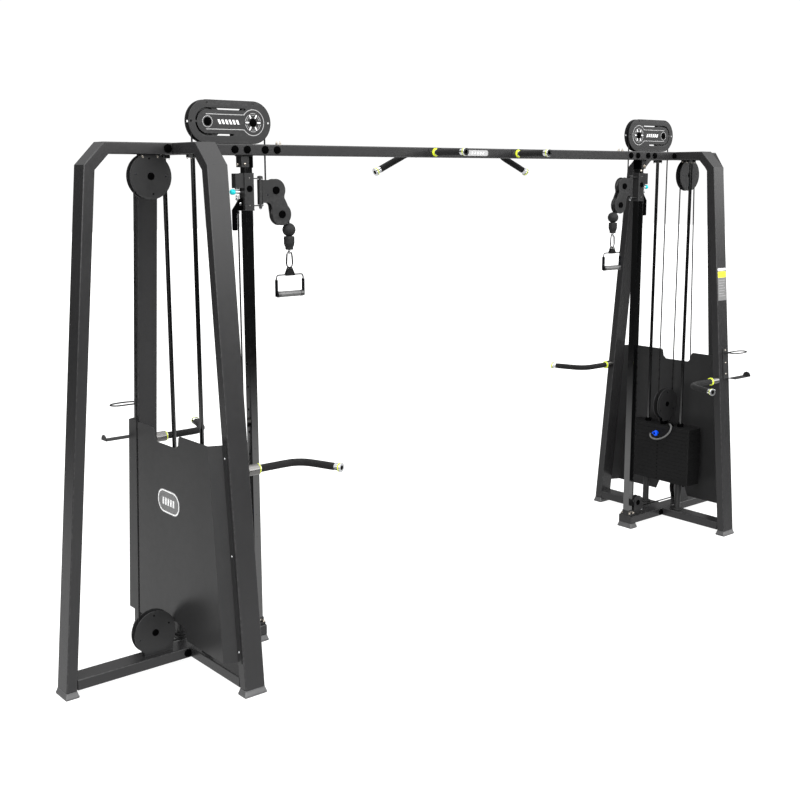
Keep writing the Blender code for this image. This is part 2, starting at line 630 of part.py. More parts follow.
def tower(tag, turn, m):
    """Every piece of one tower; turn is true for the tower on the -X side."""
    w = HUB_X

    def put(ob, name, mat, origin=(0, 0, 0), smooth=False):
        place(ob, name + "_" + tag, mat, origin, turn, smooth)

    put(a_frame(), "a_frame", m["frame"], (w, 0, TOP_Z))
    put(accessory_holder(), "accessory_holder", m["matte"], (1780, -440, 1000))
    put(outer_leg(), "outer_leg", m["frame"], (w, 0, TOP_Z))
    put(base_frame(), "base_frame", m["frame"], (w, 0, 0))
    put(guide_column(), "guide_column", m["gloss"], (1420, 0, BASE_Z1))
    put(shroud(), "shroud", m["shroud"], (1881, 0, 600))
    for sy, part in ((-1, "front"), (1, "back")):
        put(guide_rod(sy), "guide_rod_" + part, m["gloss"], (w, sy * ROD_Y, BASE_Z1), True)
        put(side_handle(sy), "side_handle_" + part, m["foam"], (w - 50, sy * 424, SIDE_Z), True)
    put(weight_stack(), "weight_stack", m["stack"], (w, 0, STACK_Z0))
    put(stack_head(), "stack_head", m["stack"], (w, 0, HEAD_Z0))
    put(selector_pin(), "selector_pin", m["blue"], (w - STACK_HX, 0, SEL_Z), True)
    put(lanyard(), "lanyard", m["cord"], (w - STACK_HX, -60, SEL_Z), True)
    put(top_housing(), "top_housing", m["matte"], (TOP_IN[0], 0, TOP_IN[1]))
    big = (BIG_PITCH, BIG_R, BIG_HALF, AXLE_R + 0.7)
    for name, c in (("top_pulley_inner", TOP_IN), ("top_pulley_outer", TOP_OUT),
                    ("stack_pulley", STACK_C), ("upper_pulley", UPPER_C), ("lower_pulley", LOWER_C)):
        put(pulley(*big, c, 16), name, m["nylon"], (c[0], 0, c[1]), True)
    small = (ARM_PITCH, ARM_R, 9.5, SMALL_AXLE_R + 0.6)
    for name, c in (("arm_pulley_upper", ARM_UP), ("arm_pulley_lower", ARM_LOW)):
        put(pulley(*small, c, 14), name, m["nylon"], (c[0], 0, c[1]), True)
    put(pulley(BASE_PITCH, BASE_R, 9.0, SMALL_AXLE_R + 0.6, BASE_C, 12), "base_pulley", m["nylon"],
        (BASE_C[0], 0, BASE_C[1]), True)
    put(carriage(), "carriage", m["matte"], (1420, 0, CAR_Z1))
    put(pop_pin(), "pop_pin", m["cyan"], (CAR_X1, 0, KNOB_Z), True)
    put(swivel_arm(), "swivel_arm", m["matte"], (PIN_X, 0, 2185))
    put(cable_stop(), "cable_stop", m["rubber"], (HANG_X, 0, BALL_Z), True)
    put(handle(), "handle", m["chrome"], (HANG_X, 0, EYE_Z))
    put(cable(), "cable", m["cable"], (DROP_X, 0, TOP_Z), True)


def build():
    clear_scene()
    m = {
        "frame": material("frame_paint", (0.052, 0.052, 0.055), 0.42, 0.35),
        "gloss": material("gloss_black", (0.008, 0.009, 0.010), 0.18, 0.1),
        "matte": material("plate_black", (0.045, 0.045, 0.047), 0.5, 0.3),
        "shroud": material("cover_sheet", (0.045, 0.045, 0.047), 0.4, 0.3),
        "stack": material("stack_iron", (0.012, 0.012, 0.013), 0.55, 0.4),
        "nylon": material("pulley_nylon", (0.008, 0.008, 0.008), 0.45, 0.0),
        "rubber": material("stop_rubber", (0.018, 0.018, 0.018), 0.7, 0.0),
        "foam": material("grip_foam", (0.012, 0.012, 0.012), 0.85, 0.0),
        "chrome": material("handle_chrome", (0.72, 0.73, 0.74), 0.15, 1.0),
        "cable": material("cable_jacket", (0.006, 0.006, 0.006), 0.35, 0.0),
        "blue": material("pin_blue", (0.0, 0.08, 0.95), 0.35, 0.0),
        "cyan": material("knob_cyan", (0.0, 0.62, 0.68), 0.35, 0.0),
        "cord": material("lanyard_grey", (0.22, 0.22, 0.22), 0.5, 0.0),
    }
    place(crossbeam(), "crossbeam", m["frame"], (0, 0, TOP_Z), False)
    tower("r", False, m)
    tower("l", True, m)
    for me in list(bpy.data.meshes):
        if me.users == 0:
            bpy.data.meshes.remove(me)


build()
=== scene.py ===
"""Visual model of the cable crossover machine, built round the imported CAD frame.

Lengths in the helper calls are millimetres in the right (+X) tower's own
coordinates.  The left tower is the same set of pieces turned half a turn
about Z, and put() turns them and brings them to metres.
"""
from math import atan2, cos, degrees, hypot, pi, radians, sin

import bmesh
import bpy
from mathutils import Matrix, Vector
from mathutils.geometry import delaunay_2d_cdt, tessellate_polygon


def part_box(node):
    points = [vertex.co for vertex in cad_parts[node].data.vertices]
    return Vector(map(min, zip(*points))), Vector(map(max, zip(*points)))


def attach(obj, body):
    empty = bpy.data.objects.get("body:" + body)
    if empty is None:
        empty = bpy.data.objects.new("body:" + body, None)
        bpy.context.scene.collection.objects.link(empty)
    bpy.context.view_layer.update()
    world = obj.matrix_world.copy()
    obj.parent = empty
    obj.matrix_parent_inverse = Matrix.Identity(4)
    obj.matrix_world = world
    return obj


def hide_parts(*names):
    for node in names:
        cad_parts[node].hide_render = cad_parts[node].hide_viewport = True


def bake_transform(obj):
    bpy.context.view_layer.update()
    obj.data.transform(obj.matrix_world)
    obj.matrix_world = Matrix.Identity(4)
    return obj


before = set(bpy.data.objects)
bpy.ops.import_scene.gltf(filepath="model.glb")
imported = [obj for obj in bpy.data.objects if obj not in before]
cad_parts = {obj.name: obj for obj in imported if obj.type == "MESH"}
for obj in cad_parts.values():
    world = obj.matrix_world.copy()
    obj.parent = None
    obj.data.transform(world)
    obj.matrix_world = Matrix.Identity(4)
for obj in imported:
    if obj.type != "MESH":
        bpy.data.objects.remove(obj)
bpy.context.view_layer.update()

MM = 0.001
TAGS = ("r", "l")


# ---------------------------------------------------------------- places
def span(node):
    """Lowest and highest corner of a CAD node, in millimetres."""
    lo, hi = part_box(node)
    return lo / MM, hi / MM


def mid(node):
    lo, hi = span(node)
    return (lo + hi) / 2


LEG_LO, LEG_HI = span("a_frame_r")
OUT_LO, OUT_HI = span("outer_leg_r")
COL_LO, COL_HI = span("guide_column_r")
CAR_LO, CAR_HI = span("carriage_r")
ARM_LO, ARM_HI = span("swivel_arm_r")
STACK_LO, STACK_HI = span("weight_stack_r")
HEAD_LO, HEAD_HI = span("stack_head_r")
BEAM_LO, BEAM_HI = span("crossbeam")
ROD_LO, ROD_HI = span("guide_rod_front_r")
BASE_LO, BASE_HI = span("base_frame_r")
COVER_LO, COVER_HI = span("top_housing_r")
STOP_LO, STOP_HI = span("cable_stop_r")
GRIP_LO, GRIP_HI = span("handle_r")
HOOK_LO, HOOK_HI = span("accessory_holder_r")
SHEET_LO, SHEET_HI = span("shroud_r")

HUB = (LEG_LO.x + LEG_HI.x) / 2
FLARE = 7.0
TOP = LEG_HI.z
TUBE_W = LEG_HI.x - LEG_LO.x
TUBE_T = 50.0
UNDER = TOP - TUBE_T
MITRE = TOP - 96.1
LEG_Y0 = LEG_HI.y
LEG_SLOPE = 0.08517
OUT_X0 = OUT_HI.x
OUT_SLOPE = 0.08776
BASE_TOP = COL_LO.z - 0.3
BASE_LOW = BASE_TOP - TUBE_T
SEL_Z = mid("selector_pin_r").z
SIDE_Z = mid("side_handle_front_r").z

BIG = {"top_pulley_inner": 0, "top_pulley_outer": 0, "stack_pulley": 0, "upper_pulley": 0, "lower_pulley": 0}
CENTRE = {n: mid(n + "_r") for n in list(BIG) + ["arm_pulley_upper", "arm_pulley_lower", "base_pulley"]}
BIG_R = span("stack_pulley_r")[1].x - CENTRE["stack_pulley"].x
ARM_R = 50.0
BASE_R = 41.0
BIG_PITCH, ARM_PITCH, BASE_PITCH = 72.0, 47.5, 36.0
CABLE_R = 3.0
HANG_X = CENTRE["arm_pulley_lower"].x - ARM_PITCH
DROP_X = CENTRE["top_pulley_inner"].x - BIG_PITCH
ANCHOR_X = CENTRE["base_pulley"].x - BASE_PITCH
PIN_X = ARM_HI.x - 14.0
FOAM_R = 17.0
SLEEVE_Z = CAR_HI.z - 172.0


def leg_y(z):
    """Outer face of a front or back leg."""
    return LEG_Y0 - LEG_SLOPE * (z - LEG_LO.z)


def out_x(z):
    """Outer face of the outer leg."""
    return OUT_X0 - OUT_SLOPE * (z - OUT_LO.z)


# ---------------------------------------------------------------- camera, light, floor
def camera():
    cam = bpy.data.cameras.new("camera")
    cam.sensor_width = 36.0
    cam.lens = 51.215
    cam.shift_y = -0.03089
    cam.clip_end = 100.0
    ob = bpy.data.objects.new("camera", cam)
    bpy.context.scene.collection.objects.link(ob)
    aim = (Matrix.Rotation(radians(-39.612), 4, "Z") @ Matrix.Rotation(radians(90.0 - 9.937), 4, "X")
           @ Matrix.Rotation(radians(-0.129), 4, "Z"))
    ob.matrix_world = Matrix.Translation((-4.2792, -4.5655, 2.2572)) @ aim
    bpy.context.scene.camera = ob


def smooth_ramp(tree, source, lo, hi, to_lo=0.0, to_hi=1.0):
    n = tree.nodes.new("ShaderNodeMapRange")
    n.interpolation_type = "SMOOTHSTEP"
    n.inputs["From Min"].default_value = lo
    n.inputs["From Max"].default_value = hi
    n.inputs["To Min"].default_value = to_lo
    n.inputs["To Max"].default_value = to_hi
    tree.links.new(source, n.inputs["Value"])
    return n.outputs["Result"]


def math_node(tree, op, a, b):
    n = tree.nodes.new("ShaderNodeMath")
    n.operation = op
    for i, x in enumerate((a, b)):
        if isinstance(x, (int, float)):
            n.inputs[i].default_value = x
        else:
            tree.links.new(x, n.inputs[i])
    return n.outputs[0]


def studio():
    """White backdrop for the eye; a tall bright wall on the front side lights the machine."""
    world = bpy.data.worlds.new("studio")
    bpy.context.scene.world = world
    world.use_nodes = True
    t = world.node_tree
    t.nodes.clear()
    out = t.nodes.new("ShaderNodeOutputWorld")
    coord = t.nodes.new("ShaderNodeTexCoord")
    sep = t.nodes.new("ShaderNodeSeparateXYZ")
    t.links.new(coord.outputs["Generated"], sep.inputs[0])
    x, y, z = sep.outputs
    front = smooth_ramp(t, y, -0.40, 0.05, 1.0, 0.0)
    above = smooth_ramp(t, z, 0.02, 0.13)
    high = smooth_ramp(t, z, 0.26, 0.55, 1.0, 0.30)
    wall = math_node(t, "MULTIPLY", math_node(t, "MULTIPLY", front, above), math_node(t, "MULTIPLY", high, 4.6))
    left = math_node(t, "MULTIPLY", smooth_ramp(t, x, -0.55, 0.0, 1.0, 0.0), smooth_ramp(t, y, 0.15, 0.55, 1.0, 0.0))
    side = math_node(t, "MULTIPLY", math_node(t, "MULTIPLY", left, smooth_ramp(t, z, -0.05, 0.15)), 1.05)
    lid = math_node(t, "MULTIPLY", smooth_ramp(t, z, 0.35, 0.9), 1.2)
    low = smooth_ramp(t, z, -0.25, -0.15, 1.0, 0.0)
    room = math_node(t, "ADD", math_node(t, "MULTIPLY", low, 0.75), 0.03)
    sky = math_node(t, "ADD", math_node(t, "MULTIPLY", smooth_ramp(t, z, 0.05, 0.4), 0.35), side)
    path = t.nodes.new("ShaderNodeLightPath")
    dim = smooth_ramp(t, path.outputs["Is Glossy Ray"], 0.0, 1.0, 1.0, 0.75)
    wall = math_node(t, "MULTIPLY", wall, dim)
    total = math_node(t, "ADD", math_node(t, "ADD", wall, lid), math_node(t, "ADD", room, sky))
    env = t.nodes.new("ShaderNodeBackground")
    env.inputs["Color"].default_value = (1.0, 1.0, 1.0, 1.0)
    t.links.new(total, env.inputs["Strength"])
    white = t.nodes.new("ShaderNodeBackground")
    white.inputs["Color"].default_value = (1.0, 1.0, 1.0, 1.0)
    white.inputs["Strength"].default_value = 1.05
    mix = t.nodes.new("ShaderNodeMixShader")
    t.links.new(path.outputs["Is Camera Ray"], mix.inputs["Fac"])
    t.links.new(env.outputs[0], mix.inputs[1])
    t.links.new(white.outputs[0], mix.inputs[2])
    t.links.new(mix.outputs[0], out.inputs["Surface"])
    bpy.context.scene.view_settings.view_transform = "Standard"
    bpy.context.scene.view_settings.look = "None"


def floor():
    half = 40.0
    me = bpy.data.meshes.new("floor")
    me.from_pydata([(-half, -half, 0), (half, -half, 0), (half, half, 0), (-half, half, 0)], [], [(0, 1, 2, 3)])
    ob = bpy.data.objects.new("floor", me)
    ob.location.z = -0.001
    bpy.context.scene.collection.objects.link(ob)
    m = bpy.data.materials.new("floor_white")
    m.use_nodes = True
    t = m.node_tree
    b = t.nodes["Principled BSDF"]
    b.inputs["Base Color"].default_value = (0.30, 0.30, 0.30, 1.0)
    b.inputs["Roughness"].default_value = 0.9
    b.inputs["Specular IOR Level"].default_value = 0.1
    glow = t.nodes.new("ShaderNodeEmission")
    glow.inputs["Color"].default_value = (1.0, 1.0, 1.0, 1.0)
    glow.inputs["Strength"].default_value = 0.92
    add = t.nodes.new("ShaderNodeAddShader")
    t.links.new(b.outputs[0], add.inputs[0])
    t.links.new(glow.outputs[0], add.inputs[1])
    path = t.nodes.new("ShaderNodeLightPath")
    pick = t.nodes.new("ShaderNodeMixShader")
    t.links.new(path.outputs["Is Camera Ray"], pick.inputs["Fac"])
    t.links.new(b.outputs[0], pick.inputs[1])
    t.links.new(add.outputs[0], pick.inputs[2])
    t.links.new(pick.outputs[0], t.nodes["Material Output"].inputs["Surface"])
    me.materials.append(m)
    ob.visible_glossy = False


# ---------------------------------------------------------------- materials
def surface(name, rgb, rough, metal=0.0, spec=0.5, mottle=0.12, vary=0.06, grain=900.0, bump=0.15,
            depth=0.0003, coat=0.0, wear_and_highlight=0.0, stretch=(1, 1, 1), voronoi=False, sheen=0.0, ior=1.5):
    """Painted, moulded or metal surface: uneven colour and roughness, fine relief, edges lightened partly as wear and
    partly as a painted highlight.
    """
    m = bpy.data.materials.new(name)
    m.use_nodes = True
    t = m.node_tree
    b = t.nodes["Principled BSDF"]
    b.inputs["Metallic"].default_value = metal
    b.inputs["Specular IOR Level"].default_value = spec
    b.inputs["IOR"].default_value = ior
    b.inputs["Coat Weight"].default_value = coat
    b.inputs["Coat Roughness"].default_value = 0.12
    b.inputs["Sheen Weight"].default_value = sheen
    b.inputs["Sheen Roughness"].default_value = 0.5
    coord = t.nodes.new("ShaderNodeTexCoord")
    scale = t.nodes.new("ShaderNodeMapping")
    scale.inputs["Scale"].default_value = stretch
    t.links.new(coord.outputs["Object"], scale.inputs["Vector"])

    def noise(size, detail):
        n = t.nodes.new("ShaderNodeTexNoise")
        n.inputs["Scale"].default_value = size
        n.inputs["Detail"].default_value = detail
        t.links.new(scale.outputs["Vector"], n.inputs["Vector"])
        return n.outputs["Fac"]

    broad = noise(5.0, 4.0)
    ramp = t.nodes.new("ShaderNodeValToRGB")
    ramp.color_ramp.elements[0].position = 0.3
    ramp.color_ramp.elements[1].position = 0.7
    ramp.color_ramp.elements[0].color = tuple(c * (1.0 - mottle) for c in rgb) + (1.0,)
    ramp.color_ramp.elements[1].color = tuple(min(1.0, c * (1.0 + mottle)) for c in rgb) + (1.0,)
    t.links.new(broad, ramp.inputs["Fac"])
    colour = ramp.outputs["Color"]
    patch = noise(38.0, 3.0)
    level = smooth_ramp(t, patch, 0.3, 0.7, max(0.03, rough - vary), rough + vary)
    # Lighter colour on the thin rim faces, broken up by noise: partly edge wear, partly a painted highlight along the
    # rounded edges.
    if wear_and_highlight > 0.0:
        edge = t.nodes.new("ShaderNodeAttribute")
        edge.attribute_name = "edge"
        rub_and_highlight = math_node(t, "MULTIPLY", smooth_ramp(t, noise(60.0, 5.0), 0.42, 0.62), edge.outputs["Fac"])
        rub_and_highlight = math_node(t, "MULTIPLY", rub_and_highlight, wear_and_highlight)
        mix = t.nodes.new("ShaderNodeMix")
        mix.data_type = "RGBA"
        mix.inputs["B"].default_value = tuple(min(1.0, 0.06 + c * 2.2) for c in rgb) + (1.0,)
        t.links.new(rub_and_highlight, mix.inputs["Factor"])
        t.links.new(colour, mix.inputs["A"])
        colour = mix.outputs["Result"]
    t.links.new(colour, b.inputs["Base Color"])
    t.links.new(level, b.inputs["Roughness"])
    relief = t.nodes.new("ShaderNodeBump")
    relief.inputs["Strength"].default_value = bump
    relief.inputs["Distance"].default_value = depth
    if voronoi:
        cell = t.nodes.new("ShaderNodeTexVoronoi")
        cell.inputs["Scale"].default_value = grain
        t.links.new(scale.outputs["Vector"], cell.inputs["Vector"])
        t.links.new(cell.outputs["Distance"], relief.inputs["Height"])
    else:
        t.links.new(noise(grain, 3.0), relief.inputs["Height"])
    t.links.new(relief.outputs["Normal"], b.inputs["Normal"])
    return m


MAT = {
    # frame and plate rims are lightened: partly wear, partly painted highlight
    "frame": surface("powder_charcoal", (0.0185, 0.0183, 0.0188), 0.25, spec=0.45, grain=900, bump=0.05, depth=0.00008,
                     mottle=0.06, vary=0.02, wear_and_highlight=0.12),
    "matte": surface("plate_charcoal", (0.0165, 0.0165, 0.0168), 0.34, spec=0.38, grain=900, bump=0.06, depth=0.00008,
                     mottle=0.06, vary=0.03, wear_and_highlight=0.12),
    "sheet": surface("sheet_charcoal", (0.0185, 0.0185, 0.0188), 0.33, spec=0.38, grain=900, bump=0.05, depth=0.00008,
                     mottle=0.05, vary=0.02),
    "gloss": surface("gloss_black", (0.0008, 0.0009, 0.001), 0.07, spec=0.5, ior=2.35, vary=0.02, grain=60, bump=0.02,
                     depth=0.0001, mottle=0.2),
    "stack": surface("crinkle_black", (0.0028, 0.0028, 0.0029), 0.66, spec=0.22, grain=700, bump=0.55,
                     depth=0.0006, mottle=0.35, voronoi=True),
    "nylon": surface("pulley_nylon", (0.004, 0.004, 0.0042), 0.34, spec=0.4, grain=300, bump=0.08),
    "cap": surface("cap_plastic", (0.0007, 0.0007, 0.0008), 0.55, spec=0.012, grain=900, bump=0.1),
    "rubber": surface("stop_rubber", (0.0085, 0.0085, 0.0088), 0.58, spec=0.30, grain=800, bump=0.25, mottle=0.2),
    "foam": surface("grip_foam", (0.0055, 0.0055, 0.0057), 0.85, spec=0.25, grain=950, bump=0.8, depth=0.0006,
                    mottle=0.3, voronoi=True, sheen=0.05),
    "chrome": surface("polished_chrome", (0.78, 0.79, 0.80), 0.07, metal=1.0, vary=0.03, mottle=0.03, grain=200,
                      bump=0.02),
    "satin": surface("satin_steel", (0.22, 0.215, 0.21), 0.26, metal=1.0, vary=0.05, mottle=0.08, grain=500,
                     bump=0.12, stretch=(0.1, 1, 1)),
    "wire": surface("wire_steel", (0.13, 0.13, 0.13), 0.14, metal=1.0, vary=0.04, mottle=0.08, grain=300, bump=0.03),
    "zinc": surface("zinc_bolt", (0.72, 0.66, 0.58), 0.22, metal=1.0, vary=0.08, mottle=0.15, grain=300, bump=0.1),
    "knurl": surface("knurled_grip", (0.17, 0.17, 0.17), 0.42, metal=0.7, mottle=0.15, grain=800, bump=0.3),
    "dark": surface("dark_steel", (0.028, 0.030, 0.033), 0.2, metal=0.8, mottle=0.1, grain=300, bump=0.05),
    "cable": surface("cable_jacket", (0.0022, 0.0022, 0.0023), 0.3, spec=0.35, grain=500, bump=0.05),
    "blue": surface("knob_blue", (0.0, 0.075, 0.80), 0.3, spec=0.4, mottle=0.06, grain=400, bump=0.05),
    "cyan": surface("knob_cyan", (0.0, 0.52, 0.56), 0.3, spec=0.4, mottle=0.05, grain=400, bump=0.05),
    "lime": surface("ring_lime", (0.62, 0.72, 0.03), 0.35, spec=0.4, mottle=0.06, grain=400, bump=0.05),
    "cord": surface("cord_grey", (0.10, 0.10, 0.098), 0.42, spec=0.4, mottle=0.12, grain=500, bump=0.1),
    # the feet's lighter rims are partly wear, partly a painted highlight on the top edges
    "foot": surface("foot_grey", (0.075, 0.075, 0.076), 0.42, spec=0.5, mottle=0.15, grain=500, bump=0.2, wear_and_highlight=0.3),
    "print": surface("print_grey", (0.36, 0.36, 0.36), 0.5, spec=0.3, mottle=0.05, bump=0.03),
    "white": surface("label_white", (0.80, 0.80, 0.80), 0.45, spec=0.3, mottle=0.02, bump=0.02),
    "yellow": surface("label_yellow", (0.86, 0.80, 0.03), 0.45, spec=0.3, mottle=0.03, bump=0.02),
    "panel": surface("label_grey", (0.16, 0.16, 0.16), 0.5, spec=0.3, mottle=0.05, bump=0.03),
    # black for holes and bores: painted shade where the recess is shallow or missing
    "hole_shade": surface("hole_painted_shade", (0.0006, 0.0006, 0.0006), 0.7, spec=0.05, bump=0.02),
    "web": surface("strap_web", (0.004, 0.004, 0.0042), 0.75, spec=0.2, grain=650, bump=0.6, depth=0.0005,
                   stretch=(1, 1, 2.5)),
}


# ---------------------------------------------------------------- geometry
def area(poly):
    return 0.5 * sum(a[0] * b[1] - b[0] * a[1] for a, b in zip(poly, poly[1:] + poly[:1]))


def inset(poly, d):
    """Moves every edge of a loop to its left by d."""
    n = len(poly)
    out = []
    for i in range(n):
        p, q, r = Vector(poly[i - 1]), Vector(poly[i]), Vector(poly[(i + 1) % n])
        a, b = (q - p).normalized(), (r - q).normalized()
        na, nb = Vector((-a.y, a.x)), Vector((-b.y, b.x))
        k = max(0.35, 1.0 + na.dot(nb))
        out.append(tuple(q + (na + nb) * (d / k)))
    return out


def rrect(x0, x1, y0, y1, r, n=4):
    """Rounded rectangle, anticlockwise."""
    pts = []
    for cx, cy, a in ((x1 - r, y0 + r, -90), (x1 - r, y1 - r, 0), (x0 + r, y1 - r, 90), (x0 + r, y0 + r, 180)):
        pts += arc(cx, cy, r, a, a + 90, n)
    return pts


def arc(cx, cz, r, a0, a1, n):
    return [(cx + r * cos(radians(a0 + (a1 - a0) * i / n)),
             cz + r * sin(radians(a0 + (a1 - a0) * i / n))) for i in range(n + 1)]


def circle(cx, cz, r, n=24):
    return arc(cx, cz, r, 0, 360 - 360 / n, n - 1)


def fill(loops):
    """Triangles, as indices into all loops' points in a row, that cover an outline less its holes."""
    flat, parts = [], []
    for lp in loops:
        parts.append(list(range(len(flat), len(flat) + len(lp))))
        flat += lp
    want = sum(area(lp) for lp in loops)

    def tidy(tri):
        return [t if area([flat[i] for i in t]) > 0 else t[::-1] for t in tri]

    def sound(tri):
        return abs(sum(area([flat[i] for i in t]) for t in tri) - want) < 0.002 * want + 0.01

    for back in (False, True):
        rows = [part[::-1] if back else part for part in parts]
        order = [i for row in rows for i in row]
        got = tessellate_polygon([[Vector((*flat[i], 0)) for i in row] for row in rows])
        tri = tidy([tuple(order[i] for i in t) for t in got])
        if sound(tri):
            return tri
    for eps in (1e-6, 1e-5, 1e-3, 0.0):
        v, _, faces, origin, _, _ = delaunay_2d_cdt([Vector(p) for p in flat], [], parts, 1, eps)
        tri = []
        for f in faces:
            c = sum((v[i] for i in f), Vector((0, 0))) / len(f)
            if all(origin[i] for i in f) and inside(c, loops):
                tri.append(tuple(origin[i][0] for i in f))
        tri = tidy(tri)
        if sound(tri):
            return tri
    print("FILL FAILED", len(flat), want)
    return tri


def inside(p, loops):
    """Even-odd test against a set of loops."""
    hit = False
    for lp in loops:
        for (ax, ay), (bx, by) in zip(lp, lp[1:] + lp[:1]):
            if (ay > p[1]) != (by > p[1]) and p[0] < ax + (p[1] - ay) * (bx - ax) / (by - ay):
                hit = not hit
    return hit


def slot(points, half, n=4):
    """Outline of a bent slot of even width that follows a few points."""
    p = [Vector(q) for q in points]
    left, right = [], []
    for i, q in enumerate(p):
        d = ((p[min(i + 1, len(p) - 1)] - p[max(i - 1, 0)])).normalized()
        s = Vector((-d.y, d.x)) * half
        left.append(tuple(q + s))
        right.append(tuple(q - s))

    def cap(c, d, half):
        a = degrees(atan2(d.y, d.x))
        return arc(c.x, c.y, half, a - 90, a + 90, n)[1:-1]

    end = cap(p[-1], (p[-1] - p[-2]).normalized(), half)
    start = cap(p[0], (p[0] - p[1]).normalized(), half)
    return right + end + left[::-1] + start


class Mesh:
    """Gathers solids, in millimetres, each with the index of its material."""

    def __init__(self):
        self.v, self.f, self.m = [], [], []

    def add(self, verts, faces, mat=0):
        k = len(self.v)
        self.v += [tuple(p) for p in verts]
        self.f += [tuple(i + k for i in f) for f in faces]
        self.m += [mat] * len(faces)
        return self

    def plate(self, loops, axis, a0, a1, rim=0.8, steps=3, mat=0):
        """Flat piece with rounded rims: loops[0] is its edge and the others are holes."""
        loops = [lp if (area(lp) > 0) == (i == 0) else lp[::-1] for i, lp in enumerate(loops)]
        rings = []
        for s in (0, 1):
            for k in range(steps + 1):
                a = (pi / 2) * k / steps
                d, h = rim * (1 - sin(a)), rim * (1 - cos(a))
                rings.append((d, a0 + h) if s == 0 else None)
        rings = [r for r in rings if r]
        rings += [(d, a1 - (h - a0)) for d, h in reversed(rings)]
        v, f, starts = [], [], []
        for lp in loops:
            n = len(lp)
            base = len(v)
            starts.append(base)
            for d, h in rings:
                v += [(p, q, h) for p, q in inset(lp, d)]
            for k in range(len(rings) - 1):
                for i in range(n):
                    j = (i + 1) % n
                    a, b = base + k * n, base + (k + 1) * n
                    f.append((a + i, a + j, b + j, b + i))
        for k in (0, len(rings) - 1):
            index = []
            for lp, base in zip(loops, starts):
                index += [base + k * len(lp) + i for i in range(len(lp))]
            for t in fill([inset(lp, rings[k][0]) for lp in loops]):
                f.append(tuple(index[i] for i in t))
        turn = {"z": lambda p: p, "y": lambda p: (p[0], p[2], p[1]), "x": lambda p: (p[2], p[0], p[1])}[axis]
        return self.add([turn(p) for p in v], f, mat)

    def box(self, x0, x1, y0, y1, z0, z1, r=1.0, mat=0):
        return self.plate([[(x0, y0), (x1, y0), (x1, y1), (x0, y1)]], "z", z0, z1, r, 3, mat)

    def lathe(self, profile, axis, centre, n=40, mat=0, start=0.0):
        """Turned solid, or ring if the profile is closed off the axis; profile is (radius, height)."""
        v, f, rings = [], [], []
        for r, h in profile:
            if r <= 0.0:
                rings.append([len(v)])
                v.append((0.0, 0.0, h))
            else:
                rings.append(list(range(len(v), len(v) + n)))
                v += [(r * cos(start + 2 * pi * i / n), r * sin(start + 2 * pi * i / n), h) for i in range(n)]
        last = len(rings) if profile[0][0] > 0.0 else len(rings) - 1
        for k in range(last):
            a, b = rings[k], rings[(k + 1) % len(rings)]
            for i in range(n):
                j = (i + 1) % n
                if len(a) == 1:
                    f.append((a[0], b[j], b[i]))
                elif len(b) == 1:
                    f.append((a[i], a[j], b[0]))
                else:
                    f.append((a[i], a[j], b[j], b[i]))
        turn = {"z": lambda p: p, "y": lambda p: (p[0], p[2], -p[1]), "x": lambda p: (p[2], p[1], -p[0])}[axis]
        c = Vector(centre)
        return self.add([Vector(turn(p)) + c for p in v], f, mat)

    def rod(self, axis, centre, r, a0, a1, n=32, mat=0, edge=0.8):
        e = min(edge, r * 0.5, abs(a1 - a0) * 0.4)
        return self.lathe([(0, a0), (r - e, a0), (r - e * 0.3, a0 + e * 0.3), (r, a0 + e), (r, a1 - e),
                           (r - e * 0.3, a1 - e * 0.3), (r - e, a1), (0, a1)], axis, centre, n, mat)

    def dome(self, axis, centre, r, a0, rise, n=28, mat=0, lip=2.0):
        """Domed cap that stands on a face at a0 and rises from it (down the axis if rise is negative)."""
        s = 1 if rise > 0 else -1
        prof = [(0, a0), (r, a0), (r, a0 + s * lip)]
        top = abs(rise) - lip
        for k in range(1, 6):
            a = (pi / 2) * k / 6
            prof.append((r * cos(a) ** 0.7, a0 + s * (lip + top * sin(a))))
        prof.append((0, a0 + rise))
        return self.lathe(prof, axis, centre, n, mat)

    def hexagon(self, axis, centre, across, a0, a1, mat=0):
        """Hexagon bolt head or nut with a washer under it."""
        r = across / 2 / cos(pi / 6)
        s = 1 if a1 > a0 else -1
        w = min(1.6, abs(a1 - a0) * 0.25)
        self.rod(axis, centre, across * 0.68, min(a0, a0 + s * w), max(a0, a0 + s * w), 24, mat, 0.4)
        return self.lathe([(0, a0 + s * w), (r, a0 + s * w), (r, a1 - s * 1.0), (r * 0.86, a1), (0, a1)], axis,
                          centre, 6, mat)

    def tube(self, points, r, n=16, mat=0, closed=False, caps=True, radius=None, shear=False):
        """Round bar along a run of points; radius(s), s from 0 to 1, scales it along its length."""
        pts = [Vector(p) for p in points]
        m = len(pts)
        run = [0.0]
        for a, b in zip(pts, pts[1:]):
            run.append(run[-1] + (b - a).length)
        dirs = []
        for i in range(m):
            a = pts[(i - 1) % m] if closed or i > 0 else pts[i]
            b = pts[(i + 1) % m] if closed or i < m - 1 else pts[i]
            dirs.append((b - a).normalized())
        ref = Vector((0, 0, 1)) if abs(dirs[0].z) < 0.9 else Vector((0, 1, 0))
        side = dirs[0].cross(ref).normalized()
        v, f = [], []
        for i in range(m):
            d = dirs[i]
            side = (side - d * side.dot(d)).normalized()
            up = d.cross(side)
            k = r * (radius(run[i] / run[-1]) if radius else 1.0)
            for j in range(n):
                a = 2 * pi * j / n
                if shear:
                    v.append(pts[i] + Vector((sin(a), cos(a), sin(a))) * k)
                else:
                    v.append(pts[i] + (side * cos(a) + up * sin(a)) * k)
        for i in range(m if closed else m - 1):
            a, b = i * n, ((i + 1) % m) * n
            f += [(a + j, a + (j + 1) % n, b + (j + 1) % n, b + j) for j in range(n)]
        if caps and not closed:
            f += [tuple(range(n)), tuple(range(m * n - 1, (m - 1) * n - 1, -1))]
        return self.add(v, f, mat)


